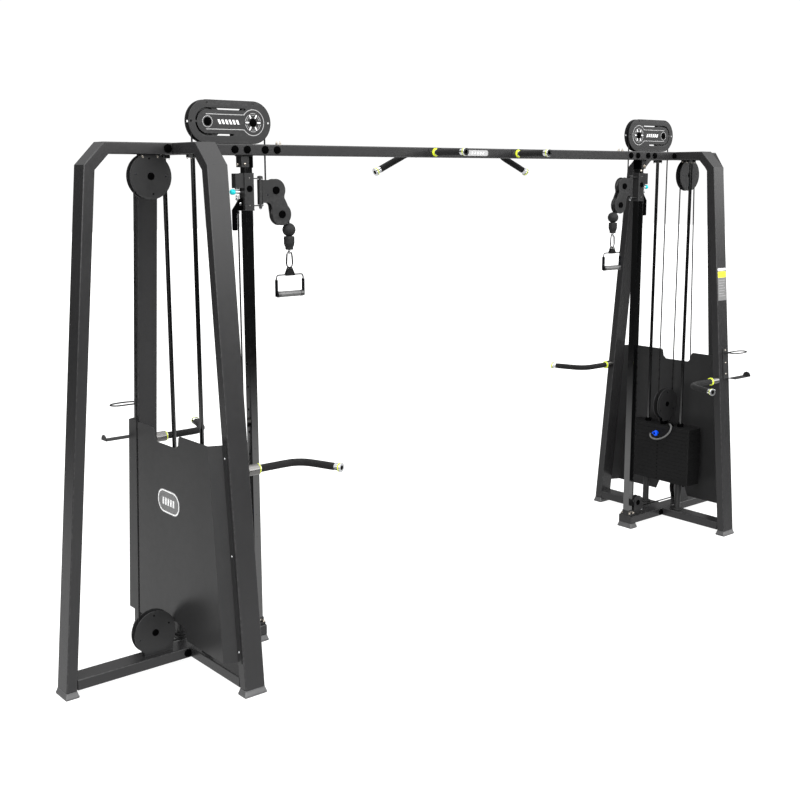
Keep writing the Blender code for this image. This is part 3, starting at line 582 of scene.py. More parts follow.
def curve_through(points, per=6, closed=False):
    """Smooth run (Catmull-Rom) through a few points."""
    p = [Vector(q) for q in points]
    n = len(p)
    out = []
    for i in range(n if closed else n - 1):
        if closed:
            a, b, c, d = p[(i - 1) % n], p[i], p[(i + 1) % n], p[(i + 2) % n]
        else:
            a, b, c, d = p[max(i - 1, 0)], p[i], p[i + 1], p[min(i + 2, n - 1)]
        for k in range(per):
            t = k / per
            out.append(0.5 * ((2 * b) + (c - a) * t + (2 * a - 5 * b + 4 * c - d) * t * t
                              + (3 * b - a - 3 * c + d) * t ** 3))
    if not closed:
        out.append(p[-1])
    return out


def put(mesh, name, mats, body, tag="", hides=(), angle=34.0, ride=True):
    """Turns a gathered mesh into a named piece that rides on its body."""
    me = bpy.data.meshes.new(name)
    me.from_pydata([tuple(p) for p in mesh.v], [], mesh.f)
    me.polygons.foreach_set("material_index", mesh.m)
    for k in (mats if isinstance(mats, (list, tuple)) else [mats]):
        me.materials.append(MAT[k])
    me.transform(Matrix.Scale(MM, 4))
    if tag == "l":
        me.transform(Matrix.Rotation(pi, 4, "Z"))
    bm = bmesh.new()
    bm.from_mesh(me)
    bmesh.ops.remove_doubles(bm, verts=bm.verts, dist=1e-6)
    bmesh.ops.dissolve_degenerate(bm, edges=bm.edges, dist=1e-6)
    bmesh.ops.recalc_face_normals(bm, faces=bm.faces)
    bm.to_mesh(me)
    bm.faces.ensure_lookup_table()
    # Thin faces (the rounded rims) are marked in the "edge" attribute; materials lighten them partly as wear, partly
    # as painted highlight.
    wear_and_highlight_edges = []
    for f in bm.faces:
        longest = max(e.calc_length() for e in f.edges)
        wear_and_highlight_edges.append(1.0 if f.calc_area() / longest < 0.0022 else 0.0)
    layer = me.attributes.new("edge", "FLOAT", "FACE")
    layer.data.foreach_set("value", wear_and_highlight_edges)
    bm.free()
    for p in me.polygons:
        p.use_smooth = True
    me.set_sharp_from_angle(angle=radians(angle))
    ob = bpy.data.objects.new(name, me)
    bpy.context.scene.collection.objects.link(ob)
    w = ob.modifiers.new("normals", "WEIGHTED_NORMAL")
    w.keep_sharp = True
    w.weight = 80
    if hides:
        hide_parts(*hides)
    if ride:
        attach(ob, body)
    return ob


# ---------------------------------------------------------------- frame
def leg_frame(t):
    zt = UNDER
    ring = [(-leg_y(LEG_LO.z), LEG_LO.z), (-leg_y(MITRE), MITRE), (-(leg_y(MITRE) - 95.5), TOP),
            (leg_y(MITRE) - 95.5, TOP), (leg_y(MITRE), MITRE), (leg_y(LEG_LO.z), LEG_LO.z),
            (leg_y(LEG_LO.z) - 50.2, LEG_LO.z), (leg_y(2283) - 50.2, 2283), (220, zt), (-220, zt),
            (-leg_y(2283) + 50.2, 2283), (-leg_y(LEG_LO.z) + 50.2, LEG_LO.z)]
    m = Mesh().plate([ring], "x", LEG_LO.x, LEG_HI.x, 5.0, 5)
    put(m, "leg_frame_" + t, "frame", "frame", t, ["a_frame_" + t])


def outer_frame(t):
    zt = UNDER
    head = LEG_HI.x + 0.3
    ring = [(out_x(OUT_LO.z), OUT_LO.z), (out_x(MITRE), MITRE), (out_x(MITRE) - 93.2, TOP), (head, TOP), (head, zt),
            (HUB + 349.9, zt), (out_x(2284) - 50.2, 2284), (out_x(OUT_LO.z) - 50.2, OUT_LO.z)]
    m = Mesh().plate([ring], "y", -50.0, 50.0, 5.0, 5)
    for s in (-1, 1):
        m.dome("y", (HUB + 75, 0, (TOP + UNDER) / 2), 19.0, s * 50.0, s * 9, 32, 1)
    put(m, "outer_frame_" + t, ["frame", "cap"], "frame", t, ["outer_leg_" + t])


def round_cover(t, key, name, r, body, gap, foot, screws, slot_name="matte"):
    """Two round plates each side of a pulley, with the spacer, axle, caps and screws."""
    c = CENTRE[key]
    m = Mesh()
    if gap:
        outline = arc(c.x, c.z, r, gap[0], gap[1], 48) + foot
    else:
        outline = circle(c.x, c.z, r, 64)
    for a, b in ((-18.0, -14.0), (14.0, 18.0)):
        m.plate([outline], "y", a, b, 1.0, 3)
    for s in (-1, 1):
        m.dome("y", (c.x, 0, c.z), 16.0, s * 18.0, s * 6.5, 32, 1)
    m.rod("y", (c.x, 0, c.z), 8.0, -16, 16)
    for px, pz, kind in screws:
        for s in (-1, 1):
            m.dome("y", (c.x + px, 0, c.z + pz), 4.2, s * 18.0, s * 1.6, 16, kind, 0.5)
    return m


def covers(t):
    c = CENTRE["upper_pulley"]
    m = round_cover(t, "upper_pulley", "upper_cover", 100.0, "frame", None, None,
                    ((-72, 0, 2), (72, 8, 2), (6, 76, 1), (-8, -76, 1)))
    m.plate([[(c.x - 30, c.z + 88), (c.x + 30, c.z + 88), (c.x + 24, UNDER + 1), (c.x - 24, UNDER + 1)]], "y", -14,
            14, 1.0)
    m.box(c.x - 44, c.x + 44, -22, 22, UNDER - 6, UNDER + 0.5, 1.0)
    for x in (c.x - 36, c.x + 36):
        for y in (-15, 15):
            m.hexagon("z", (x, y, 0), 10, UNDER - 6, UNDER - 15, 3)
    put(m, "upper_cover_" + t, ["matte", "cap", "dark", "zinc"], "frame", t)
    c = CENTRE["lower_pulley"]
    m = round_cover(t, "lower_pulley", "lower_cover", 104.0, "frame", (-57, 237),
                    [(c.x - 56, BASE_TOP - 1), (c.x + 56, BASE_TOP - 1)],
                    ((78, -18, 2), (4, 82, 1), (-70, 30, 1)))
    arm = [(c.x - 40, c.z + 92), (SHEET_HI.x + 3, c.z + 42), (SHEET_HI.x + 3, c.z - 34), (c.x - 86, BASE_TOP - 1),
           (c.x - 20, BASE_TOP - 1)]
    m.plate([arm], "y", 9.0, 13.8, 0.8)
    m.box(c.x - 45, c.x + 45, -13.8, 13.8, BASE_TOP - 2, 98, 1.0)
    put(m, "lower_cover_" + t, ["matte", "cap", "dark"], "frame", t)


def base(t):
    yi = leg_y(BASE_TOP) - 50.5
    xo = out_x(BASE_TOP) - 50.5
    m = Mesh()
    m.plate([rrect(-50, 50, BASE_LOW, BASE_TOP, 5)], "x", BASE_LO.x + FLARE, xo, 0.8)
    put(m, "base_beam_" + t, "frame", "frame", t, ["base_frame_" + t])
    m = Mesh()
    for s in (-1, 1):
        a, b = sorted((s * 50.4, s * yi))
        m.plate([rrect(HUB - 50, HUB + 50, BASE_LOW, BASE_TOP - 0.4, 5)], "y", a, b, 0.8)
    for x, w in ((HUB + 65, -1), (HUB - 65, -1), (HUB + 65, 1), (HUB - 65, 1)):
        m.dome("y", (x, 0, (BASE_TOP + BASE_LOW) / 2 - 1), 19.5, w * 50.0, w * 8.5, 32, 1)
    put(m, "base_cross_" + t, ["frame", "cap"], "frame", t)
    m = Mesh()
    yf = LEG_Y0 - 25.0
    for cx, cy, hx, hy in ((HUB, -yf, 50, 25), (HUB, yf, 50, 25), (BASE_HI.x - FLARE - 25, 0, 25, 50),
                           (BASE_LO.x + FLARE + 25, 0, 25, 50)):
        levels = ((FLARE - 1, 0), (FLARE, 2.5), (FLARE, 8), (FLARE - 2, 12), (1.5, 24), (0.5, 26.5), (0.2, 29.8))
        rings = []
        v, f = [], []
        for h, z in levels:
            loop = rrect(cx - hx - h, cx + hx + h, cy - hy - h, cy + hy + h, 4, 3)
            rings.append((len(v), len(loop)))
            v += [(x, y, z) for x, y in loop]
        for (a, n), (b, _) in zip(rings, rings[1:]):
            f += [(a + i, a + (i + 1) % n, b + (i + 1) % n, b + i) for i in range(n)]
        f.append(tuple(range(rings[0][0] + rings[0][1] - 1, rings[0][0] - 1, -1)))
        f.append(tuple(range(rings[-1][0], rings[-1][0] + rings[-1][1])))
        m.add(v, f)
    put(m, "feet_" + t, "foot", "frame", t)
    m = Mesh()
    b = CENTRE["base_pulley"]
    cheek = [(b.x - 42, BASE_TOP - 3), (b.x + 60, BASE_TOP - 3), (b.x + 48, b.z)]
    cheek += arc(b.x, b.z, 46, 20, 140, 10) + [(b.x - 34, b.z)]
    for y0, y1 in ((-16, -12), (12, 16)):
        m.plate([cheek], "y", y0, y1, 0.9)
    for s in (-1, 1):
        m.dome("y", (b.x, 0, b.z), 17.0, s * 16.0, s * 6, 32, 1)
        m.dome("y", (b.x + 40, 0, BASE_TOP + 14), 4.0, s * 16.0, s * 1.6, 14, 2, 0.5)
    m.rod("y", (b.x, 0, b.z), 6.0, -14, 14)
    m.box(b.x - 30, b.x + 45, -12.5, 12.5, BASE_TOP - 2, 94, 0.8)
    put(m, "base_bracket_" + t, ["matte", "cap", "chrome"], "frame", t)


def column(t):
    x0, x1 = CENTRE["base_pulley"].x - 105.0, CENTRE["base_pulley"].x - 65.0
    m = Mesh()
    m.plate([rrect(x0, x1, -22, 22, 3.5)], "z", COL_LO.z + 0.4, COL_HI.z - 3, 0.5)
    z = SLEEVE_Z - 60
    k = 0
    while z > 420:
        # black discs on the +X face and thin black bars through the column stand for holes: painted shade, no recess
        m.rod("x", (x1, 0, z), 6.0, -1.0, 0.25, 20, 1, 0.2)
        m.rod("y", (x0 + 24, 0, z + 30), 1.7, -22.15, 22.15, 12, 1, 0.1)
        z -= 110.0
        k += 1
    put(m, "column_" + t, ["gloss", "hole_shade"], "frame", t, ["guide_column_" + t])
    m = Mesh()
    zt = COL_HI.z
    m.plate([rrect(x0 + 16, x1 + 20, -25, 25, 5)], "z", 2298, zt, 0.8)
    m.box(x0 - 3, x0 + 18, -24, 24, 2296, zt - 1, 1.2, 2)
    m.box(x0 - 1, x0 + 17, -24.5, -22.2, 2276, 2342, 0.6, 2)
    m.box(x0 - 3, x1 + 24, -25, 25, zt - 4, zt, 0.8)
    m.rod("y", (x1 + 4, 0, 2312), 5.0, -31, 31, 20, 1)
    m.hexagon("y", (x1 + 4, 0, 2312), 15, -24, -33, 1)
    m.dome("x", (0, -8, 2312), 7.0, x1 + 20, 6, 20, 1)
    m.dome("y", (x0 + 15, 0, 2285), 8.0, -22.2, -5, 20, 1)
    put(m, "column_head_" + t, ["matte", "zinc", "cap"], "frame", t)
    m = Mesh()
    zb = COL_LO.z
    m.box(1396.5, 1449.5, -37.5, 37.5, zb + 0.2, BASE_TOP + 12, 1.2)
    for x in (1404.5, 1441.5):
        for y in (-29, 29):
            m.hexagon("z", (x, y, 0), 12, BASE_TOP + 12, BASE_TOP + 21, 1)
    m.box(x0 - 2, x1 + 2, -24.5, 24.5, BASE_TOP + 11, BASE_TOP + 34, 1.5)
    m.rod("y", (x0 + 20, 0, BASE_TOP + 24), 4.0, -30, 30, 18, 1)
    put(m, "column_foot_" + t, ["matte", "zinc"], "frame", t)


def rods(t):
    for node, y in (("front", -130.0), ("back", 130.0)):
        z0, z1 = ROD_LO.z, ROD_HI.z
        post = [(0, z0), (31, z0), (32, z0 + 1), (32, z0 + 7), (31, z0 + 8), (20, z0 + 8.5), (20, STACK_LO.z - 12),
                (19, STACK_LO.z - 10), (0, STACK_LO.z - 9.5)]
        prof = [(0, STACK_LO.z - 9.8), (10, STACK_LO.z - 9.8), (10, z1 - 16), (11, z1 - 15), (27, z1 - 14),
                (28, z1 - 13), (28, z1 - 1), (27, z1), (0, z1)]
        m = Mesh().lathe(prof, "z", (HUB, y, 0), 40).lathe(post, "z", (HUB, y, 0), 40, 3)
        b0 = STACK_LO.z - 9
        m.lathe([(10.3, b0), (21, b0), (22, b0 + 1.5), (22, b0 + 7), (21, b0 + 8.5), (10.3, b0 + 8.5)], "z",
                (HUB, y, 0), 36, 1)
        for a in (0.8, 0.8 + pi / 2, 0.8 + pi, 0.8 + 1.5 * pi):
            m.hexagon("z", (HUB + 24 * cos(a), y + 24 * sin(a), 0), 5, z1 - 16.2, z1 - 19.5, 2)
        put(m, "rod_%s_%s" % (node, t), ["gloss", "rubber", "zinc", "matte"], "frame", t,
            ["guide_rod_%s_%s" % (node, t)])


def foam_bar(name, points, r, t, hides=()):
    """Foam sleeve with rounded ends along a smooth run."""
    pts = curve_through(points, 6)

    def ends(s):
        k = min(s, 1 - s) * 60
        return 0.86 + 0.14 * min(1.0, k) ** 0.5

    m = Mesh().tube(pts, r, 36, radius=ends)
    return put(m, name, "foam", "frame", t, hides, angle=50)


def end_ring(m, e, d, r, metal, lime):
    """Chrome sleeve end with its lime ring and open bore, facing along d."""
    e, d = Vector(e), Vector(d).normalized()
    m.tube([e - d * 22, e - d * 0.5], r * 0.78, 32, metal)
    rim = []
    for a, rr in ((-0.5, r * 0.80), (0, r * 0.97), (1.5, r), (6.5, r), (11.0, r * 0.97), (12.0, r * 0.90)):
        rim.append((a, rr))
    side = d.cross(Vector((0, 0, 1))).normalized() if abs(d.z) < 0.9 else Vector((1, 0, 0))
    up = d.cross(side)
    prof = rim + [(12.0, r * 0.50), (5.0, r * 0.46), (4.6, 0.0)]
    v, f, rings = [], [], []
    n = 36
    for a, rr in [(-0.5, 0.0)] + prof:
        if rr == 0.0:
            rings.append([len(v)])
            v.append(e + d * a)
        else:
            rings.append(list(range(len(v), len(v) + n)))
            v += [e + d * a + (side * cos(2 * pi * i / n) + up * sin(2 * pi * i / n)) * rr for i in range(n)]
    # the bore's walls and floor (lime + 1) take the black hole material: painted shade inside a shallow bore
    mats = [metal, metal, lime, lime, metal, metal, metal, lime + 1, lime + 1]
    for k, (a, b) in enumerate(zip(rings, rings[1:])):
        face = []
        for i in range(n):
            j = (i + 1) % n
            if len(a) == 1:
                face.append((a[0], b[j], b[i]))
            elif len(b) == 1:
                face.append((a[i], a[j], b[0]))
            else:
                face.append((a[i], a[j], b[j], b[i]))
        f.append((face, mats[min(k, len(mats) - 1)]))
    base_index = len(m.v)
    m.v += [tuple(p) for p in v]
    for face, mat in f:
        m.f += [tuple(i + base_index for i in q) for q in face]
        m.m += [mat] * len(face)


def side_grips(t):
    for sy, node in ((-1, "front"), (1, "back")):
        y0 = sy * (leg_y(SIDE_Z) - 25.0)
        x0 = LEG_LO.x - 0.3
        raw = [(x0 - 64, y0), (1600, y0), (1560, y0), (1524, y0 + sy * 0.5), (1488, y0 + sy * 4),
               (1458, y0 + sy * 18), (1436, y0 + sy * 40), (1420, y0 + sy * 72), (1400, y0 + sy * 130),
               (1381, y0 + sy * 186)]
        name = "side_grip_%s_%s" % (node, t)
        foam_bar(name, [(x, y, SIDE_Z) for x, y in raw], FOAM_R, t, ["side_handle_%s_%s" % (node, t)])
        m = Mesh()
        m.lathe([(0, x0 - 56), (23.5, x0 - 56), (25, x0 - 54.5), (25, x0 - 1.5), (24, x0), (0, x0)], "x",
                (0, y0, SIDE_Z), 44)
        m.rod("x", (0, y0, SIDE_Z), 18.5, x0 - 66, x0 - 50, 36, 1)
        m.lathe([(18, x0 - 61), (23, x0 - 61), (24.5, x0 - 59.5), (24.5, x0 - 57), (23, x0 - 55.8),
                 (18, x0 - 55.8)], "x", (0, y0, SIDE_Z), 44, 2)
        d = Vector((1373 - 1420, sy * 634 - (y0 + sy * 72), 0)).normalized()
        e = Vector((1373, sy * 634, SIDE_Z))
        end_ring(m, e, d, 21.0, 1, 2)
        put(m, "side_fittings_%s_%s" % (node, t), ["satin", "chrome", "lime", "hole_shade"], "frame", t)


def shroud(t):
    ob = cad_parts["shroud_" + t]
    b = ob.modifiers.new("rims", "BEVEL")
    b.width = 0.0009
    b.segments = 2
    b.limit_method = "ANGLE"
    b.angle_limit = radians(28)
    b.harden_normals = True
    ob.data.materials.clear()
    ob.data.materials.append(MAT["sheet"])
    xf = SHEET_HI.x
    m = Mesh()
    for s in (-1, 1):
        for y, z in ((407, 1059), (444, 629), (484, 200)):
            yy = leg_y(z) - 30.0
            m.dome("x", (0, s * yy, z), 5.5, LEG_HI.x + 2.8, 3.2, 18, 0, 0.8)
    put(m, "cover_screws_" + t, "chrome", "frame", t)
    m = Mesh()
    oval = slot([(-46, 783), (46, 783)], 57, 16)
    rim = slot([(-46, 783), (46, 783)], 54, 16)
    inner = slot([(-46, 783), (46, 783)], 47, 16)
    m.plate([oval], "x", xf - 0.2, xf + 0.9, 0.4, 2, 0)
    m.plate([rim, inner], "x", xf + 0.5, xf + 1.3, 0.2, 2, 1)
    for k in range(5):
        y = -54 + 24 * k
        bar = [(y - 4, 766), (y + 10, 766), (y + 14, 800), (y, 800)]
        m.plate([bar], "x", xf + 0.5, xf + 1.3, 0.2, 2, 1)
    put(m, "cover_badge_" + t, ["panel", "white"], "frame", t)


# ---------------------------------------------------------------- stack
def stack(t):
    x0, x1, y0, y1 = STACK_LO.x, STACK_HI.x, STACK_LO.y, STACK_HI.y
    count = 12
    pitch = (STACK_HI.z - STACK_LO.z) / count
    m = Mesh()
    for k in range(count):
        z0 = STACK_LO.z + k * pitch
        outline = rrect(x0, x1, y0, y1, 4, 3)
        holes = [circle(HUB, -130, 12, 20), circle(HUB, 130, 12, 20), circle(HUB, 0, 14, 20)]
        m.plate([outline] + holes, "z", z0 + 0.15, z0 + pitch - 0.15, 1.2, 2)
        zc = z0 + pitch / 2
        # black discs on both ends of each plate stand for pin holes: painted shade, no recess
        m.rod("x", (0, 0, zc), 5.0, x0 - 0.15, x0 + 1.0, 18, 1, 0.1)
        m.rod("x", (0, 0, zc), 5.0, x1 - 1.0, x1 + 0.15, 18, 1, 0.1)
    put(m, "stack_plates_" + t, ["stack", "hole_shade"], "frame", t, ["weight_stack_" + t], angle=40)


def stack_head(t):
    x0, x1, y0, y1 = STACK_LO.x, STACK_HI.x, STACK_LO.y, STACK_HI.y
    m = Mesh()
    holes = [circle(HUB, -130, 12, 20), circle(HUB, 130, 12, 20)]
    for a, b, e in ((563.2, 587.2, 0), (587.8, 611.8, 0), (612.4, 637, 2)):
        m.plate([rrect(x0 + e, x1 - e, y0 + e, y1 - e, 4, 3)] + holes, "z", a, b, 1.2, 2)
    for y in (-130, 130):
        m.lathe([(11, 636), (20, 636), (20, 655), (18.5, 657), (11, 657)], "z", (HUB, y, 0), 36, 1)
    m.rod("z", (HUB, 0, 0), 12.0, 270.5, 565, 28, 2)
    m.plate([rrect(HUB - 24, HUB + 24, -15, 15, 4)], "z", 636, 687, 1.5, 3, 1)
    # black disc for the pin hole in the head: painted shade, no recess
    m.rod("x", (0, 0, 586), 5.6, x0 - 0.12, x0 + 1.0, 20, 3, 0.1)
    put(m, "head_plates_" + t, ["stack", "cap", "gloss", "hole_shade"], "lift_" + t, t, ["stack_head_" + t],
        angle=40)
    c = CENTRE["stack_pulley"]
    m = round_cover(t, "stack_pulley", "lift_cover", 102.0, None, (-68, 248), [(c.x - 38, 660), (c.x + 38, 660)],
                    ((0, 78, 1), (-66, -38, 1), (66, -38, 1)))
    ring = circle(c.x, c.z, 84, 56)
    hole = circle(c.x, c.z, 80, 56)
    m.plate([ring, hole], "y", -18.8, -17.6, 0.3, 2)
    m.plate([ring, hole], "y", 17.6, 18.8, 0.3, 2)
    put(m, "lift_cover_" + t, ["matte", "cap", "dark"], "lift_" + t, t)


def lobes(r, k, n=60):
    """Three-lobed knob outline."""
    return [((r + k * cos(3 * a)) * cos(a), (r + k * cos(3 * a)) * sin(a)) for a in
            [2 * pi * i / n for i in range(n)]]


def selector(t):
    x0 = STACK_LO.x
    m = Mesh()
    knob = [(p, q + SEL_Z) for p, q in lobes(17.2, 3.4)]
    m.plate([knob], "x", x0 - 37.5, x0 - 18, 5.5, 5)
    m.lathe([(0, x0 - 19), (9, x0 - 19), (9, x0 - 3), (8, x0 - 2), (0, x0 - 2)], "x", (0, 0, SEL_Z), 28)
    m.lathe([(0, x0 - 3), (4.5, x0 - 3), (4.5, x0 + 46), (3, x0 + 49), (0, x0 + 49.5)], "x", (0, 0, SEL_Z), 24, 1)
    m.rod("x", (0, 0, SEL_Z), 7.0, x0 - 37.9, x0 - 36.5, 24, 2, 0.4)
    put(m, "selector_" + t, ["blue", "chrome", "cap"], "selector_pin_" + t, t, ["selector_pin_" + t])


LANYARD = [(-40, 28.5, -3), (-42, 30, -14), (-42, 24, -27), (-40, 8, -35), (-38, -14, -37), (-35, -38, -32),
           (-31, -62, -21), (-27, -84, -6), (-23, -102, 14), (-19, -113, 34), (-13, -114, 51), (-4, -106, 62),
           (8, -92, 66), (20, -78, 64), (28, -68, 60)]


def lanyard(t):
    """Grey coiled cord that keeps the selector pin with the stack."""
    x0 = STACK_LO.x
    pts = [Vector((x0 + x, y, SEL_Z + z)) for x, y, z in LANYARD]
    fine = curve_through(pts, 24)
    m = Mesh().tube(fine, 6.0, 20, radius=lambda s: 0.955 + 0.045 * cos(2 * pi * s * 62))
    ob = put(m, "lanyard_cord_" + t, "cord", None, t, ["lanyard_" + t], angle=60, ride=False)
    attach(ob, "lift_" + t)
    m = Mesh()
    e = Vector((x0 + 28, -68, SEL_Z + 60))
    m.tube(curve_through([e + Vector((-3, 5, -1)), e + Vector((4, -6, 1)), e + Vector((10, -14, -1)),
                          e + Vector((14, -18, -9))], 6), 7.4, 20)
    m.rod("z", (e.x + 14, e.y - 18, 0), 9.0, HEAD_HI.z * 0 + 637, 643, 24)
    put(m, "lanyard_anchor_" + t, "cap", "lift_" + t, t)


# ---------------------------------------------------------------- pulleys and covers
def pulley(t, key, pitch, r, half, bore):
    c = CENTRE[key]
    g = pitch - CABLE_R - 1.6
    rim = [(r * 0.74, -half * 0.8), (r * 0.78, -half), (r - 1.5, -half), (r, -half + 1.5), (g + 4, -4.6), (g, -1.8),
           (g, 1.8), (g + 4, 4.6), (r, half - 1.5), (r - 1.5, half), (r * 0.78, half), (r * 0.74, half * 0.8)]
    m = Mesh().lathe(rim, "y", (c.x, 0, c.z), 64)
    hub = [(bore, -half), (bore + 9, -half), (bore + 10, -half + 1), (bore + 10, half - 1), (bore + 9, half),
           (bore, half)]
    m.lathe(hub, "y", (c.x, 0, c.z), 36, 1)
    ring = circle(c.x, c.z, r * 0.76, 60)
    windows = []
    rm = (r * 0.74 + bore + 10) / 2
    for k in range(5):
        a = 2 * pi * k / 5 + 0.3
        windows.append(circle(c.x + rm * cos(a), c.z + rm * sin(a), (r * 0.74 - bore - 10) * 0.30, 20))
    m.plate([ring] + [circle(c.x, c.z, bore + 8, 36)] + windows, "y", -half * 0.45, half * 0.45, 0.8, 2)
    put(m, "wheel_%s_%s" % (key, t), ["nylon", "satin"], "%s_%s" % (key, t), t, ["%s_%s" % (key, t)])


def top_cover(t):
    a, b = CENTRE["top_pulley_inner"], CENTRE["top_pulley_outer"]
    z = a.z
    r = COVER_HI.z - z
    outline = arc(b.x, z, r, -90, 90, 32) + arc(a.x, z, r, 90, 270, 32)
    holes = [circle(b.x, z + 83, 4.6, 16), circle(a.x, z + 83, 5.4, 16), circle(b.x + 83, z, 5.4, 16),
             circle(a.x - 83, z, 5.0, 16)]
    up = [(a.x + 42, z + 57), (a.x + 100, z + 57), (b.x - 40, z + 57)] + arc(b.x, z, 57, 90, 8, 12)
    low = arc(b.x, z, 57, -8, -90, 12) + [(b.x - 60, z - 57), (a.x + 108, z - 57)]
    holes += [slot(up, 4.2), slot(low, 4.2)]
    m = Mesh()
    for y0, y1 in ((-18, -14), (14, 18)):
        m.plate([outline] + holes, "y", y0, y1, 0.8, 3)
    m.box(a.x + 22, b.x - 22, -13.9, 13.9, COVER_LO.z, z - 80, 1.0)
    for x in (a.x + 26, b.x - 30):
        m.box(x - 6, x + 6, -18.1, 18.1, COVER_LO.z, COVER_LO.z + 8, 1.0)
    for c in (a, b):
        m.rod("y", (c.x, 0, z), 8.0, -16, 16)
        for s in (-1, 1):
            m.dome("y", (c.x, 0, z), 18.0, s * 18.0, s * 7, 36, 1)
    for x, zz in ((a.x + 40, z + 74), (b.x - 40, z - 74)):
        m.rod("y", (x, 0, zz), 5.0, -14.2, 14.2, 20, 0)
    put(m, "top_cover_" + t, ["matte", "cap"], "frame", t, ["top_housing_" + t])
    m = Mesh()
    for s in (-1, 1):
        y0, y1 = sorted((s * 17.9, s * 18.35))

        def line(points, w):
            m.plate([slot(points, w, 2)], "y", y0, y1, 0.1, 1)

        for k in (1, -1):
            n = 22
            ring = arc(a.x, z, 58, k * 36, k * 178, n)
            line([(b.x + 7, z + k * 33), (a.x + 60, z + k * 33), (a.x + 47, z + k * 34)] + ring, 1.7)
        m.plate([circle(b.x, z, 26, 40), circle(b.x, z, 23.2, 40)], "y", y0, y1, 0.1, 1)
        for k in range(6):
            u = radians(60 * k)
            ends = [(a.x + 24 * cos(u), z + 24 * sin(u)), (a.x + 38 * cos(u), z + 38 * sin(u))]
            m.plate([slot(ends, 3.6, 2)], "y", y0, y1, 0.1, 1, 1)
            line(arc(a.x, z, 41, 60 * k + 12, 60 * k + 48, 8), 1.2)
            line(arc(a.x, z, 33, 60 * k + 16, 60 * k + 44, 8), 0.9)
        for k in range(6):
            x = b.x - 60 - 19 * k
            m.plate([[(x - 11, z - 10), (x, z - 10), (x + 8, z + 10), (x - 3, z + 10)]], "y", y0, y1, 0.1, 1, 1)
    put(m, "cover_lines_" + t, ["print", "white"], "frame", t)


# ---------------------------------------------------------------- carriage, arm, handle
def carriage(t):
    x0, x1 = 1394.0, 1446.0
    z0, z1 = SLEEVE_Z, CAR_HI.z
    m = Mesh()
    m.plate([rrect(x0, x1, -26, 26, 5), rrect(1399.4, 1440.6, -22.6, 22.6, 3)], "z", z0 + 0.2, z1 - 0.2, 1.4)
    m.plate([rrect(x0 - 0.8, x1 + 0.8, -26.8, 26.8, 5.5), rrect(1399.6, 1440.4, -22.4, 22.4, 3)], "z", z0, z0 + 5,
            0.8)
    m.plate([rrect(x0 - 0.8, x1 + 0.8, -26.8, 26.8, 5.5), rrect(1399.6, 1440.4, -22.4, 22.4, 3)], "z", z1 - 5, z1,
            0.8)
    m.plate([rrect(x1 - 2, 1490, -19, 19, 4)], "z", 2203, 2270, 1.6)
    for za, zb in ((2244.5, 2249.5), (2119.5, 2124.5)):
        lug = arc(PIN_X, 0, 14, 90, 270, 14) + [(x0 + 2, -14), (x0 + 2, 14)]
        m.plate([lug], "z", za, zb, 0.8)
    for s in (-1, 1):
        for zz in (2123, 2248):
            m.dome("y", (1420, 0, zz), 3.4, s * 26, s * 1.5, 16, 3, 0.5)
        m.dome("y", (1420, 0, 2200), 15.0, s * 26, s * 4.5, 32, 2)
    m.dome("z", (PIN_X, 0, 0), 13.0, 2249.5, 10.0, 28, 0, 5.0)
    m.hexagon("z", (PIN_X, 0, 0), 15, 2119.5, 2110, 1)
    m.dome("z", (PIN_X, 0, 0), 6.0, 2110.5, -7, 20, 1)
    m.rod("z", (PIN_X, 0, 0), 5.8, 2112, 2252, 20, 1)
    put(m, "sleeve_" + t, ["matte", "chrome", "cap", "satin"], "carriage_" + t, t, ["carriage_" + t])
    m = Mesh()
    lever = [(1443, 2160), (1466, 2152), (1480, 2130), (1500, 2104), (1500, 2016), (1497, 2010), (1479, 2010),
             (1477, 2014), (1477, 2101), (1458, 2101), (1443, 2106)]
    m.plate([lever], "y", -7, 7, 3.2, 4)
    for s in (-1, 1):
        m.dome("y", (1460, 0, 2132), 6.0, s * 7, s * 2.5, 20, 1)
    put(m, "lever_" + t, ["cap", "chrome"], "carriage_" + t, t)
    m = Mesh()
    helix = [(1472 + 6.5 * cos(u), 6.5 * sin(u), 2171 - 20 * k / 60) for k in range(61) for u in [2 * pi * 4.5 * k / 60]]
    m.tube(helix, 1.5, 8)
    m.rod("z", (1472, 0, 0), 3.2, 2146, 2171, 18)
    m.rod("z", (1472, 0, 0), 9.5, 2197, 2204, 28)
    m.rod("z", (1472, 0, 0), 8.0, 2148, 2155, 28)
    m.rod("z", (ANCHOR_X, 0, 0), 6.0, 2086, 2106, 24)
    put(m, "pull_spring_" + t, "chrome", "carriage_" + t, t)


def pop_pin(t):
    z = mid("pop_pin_r").z
    lo, hi = span("pop_pin_r")
    m = Mesh()
    m.lathe([(0, hi.x - 24), (9, hi.x - 24), (12, hi.x - 21), (13, hi.x - 16), (13, hi.x - 8), (11, hi.x - 3),
             (8, hi.x - 0.6), (0, hi.x)], "x", (0, 0, z), 40)
    m.lathe([(0, lo.x), (4, lo.x), (5, lo.x + 1.5), (5, lo.x + 20), (9, lo.x + 22), (9, lo.x + 44), (0, lo.x + 45)],
            "x", (0, 0, z), 32, 1)
    put(m, "pull_knob_" + t, ["cyan", "chrome"], "pop_pin_" + t, t, ["pop_pin_" + t])


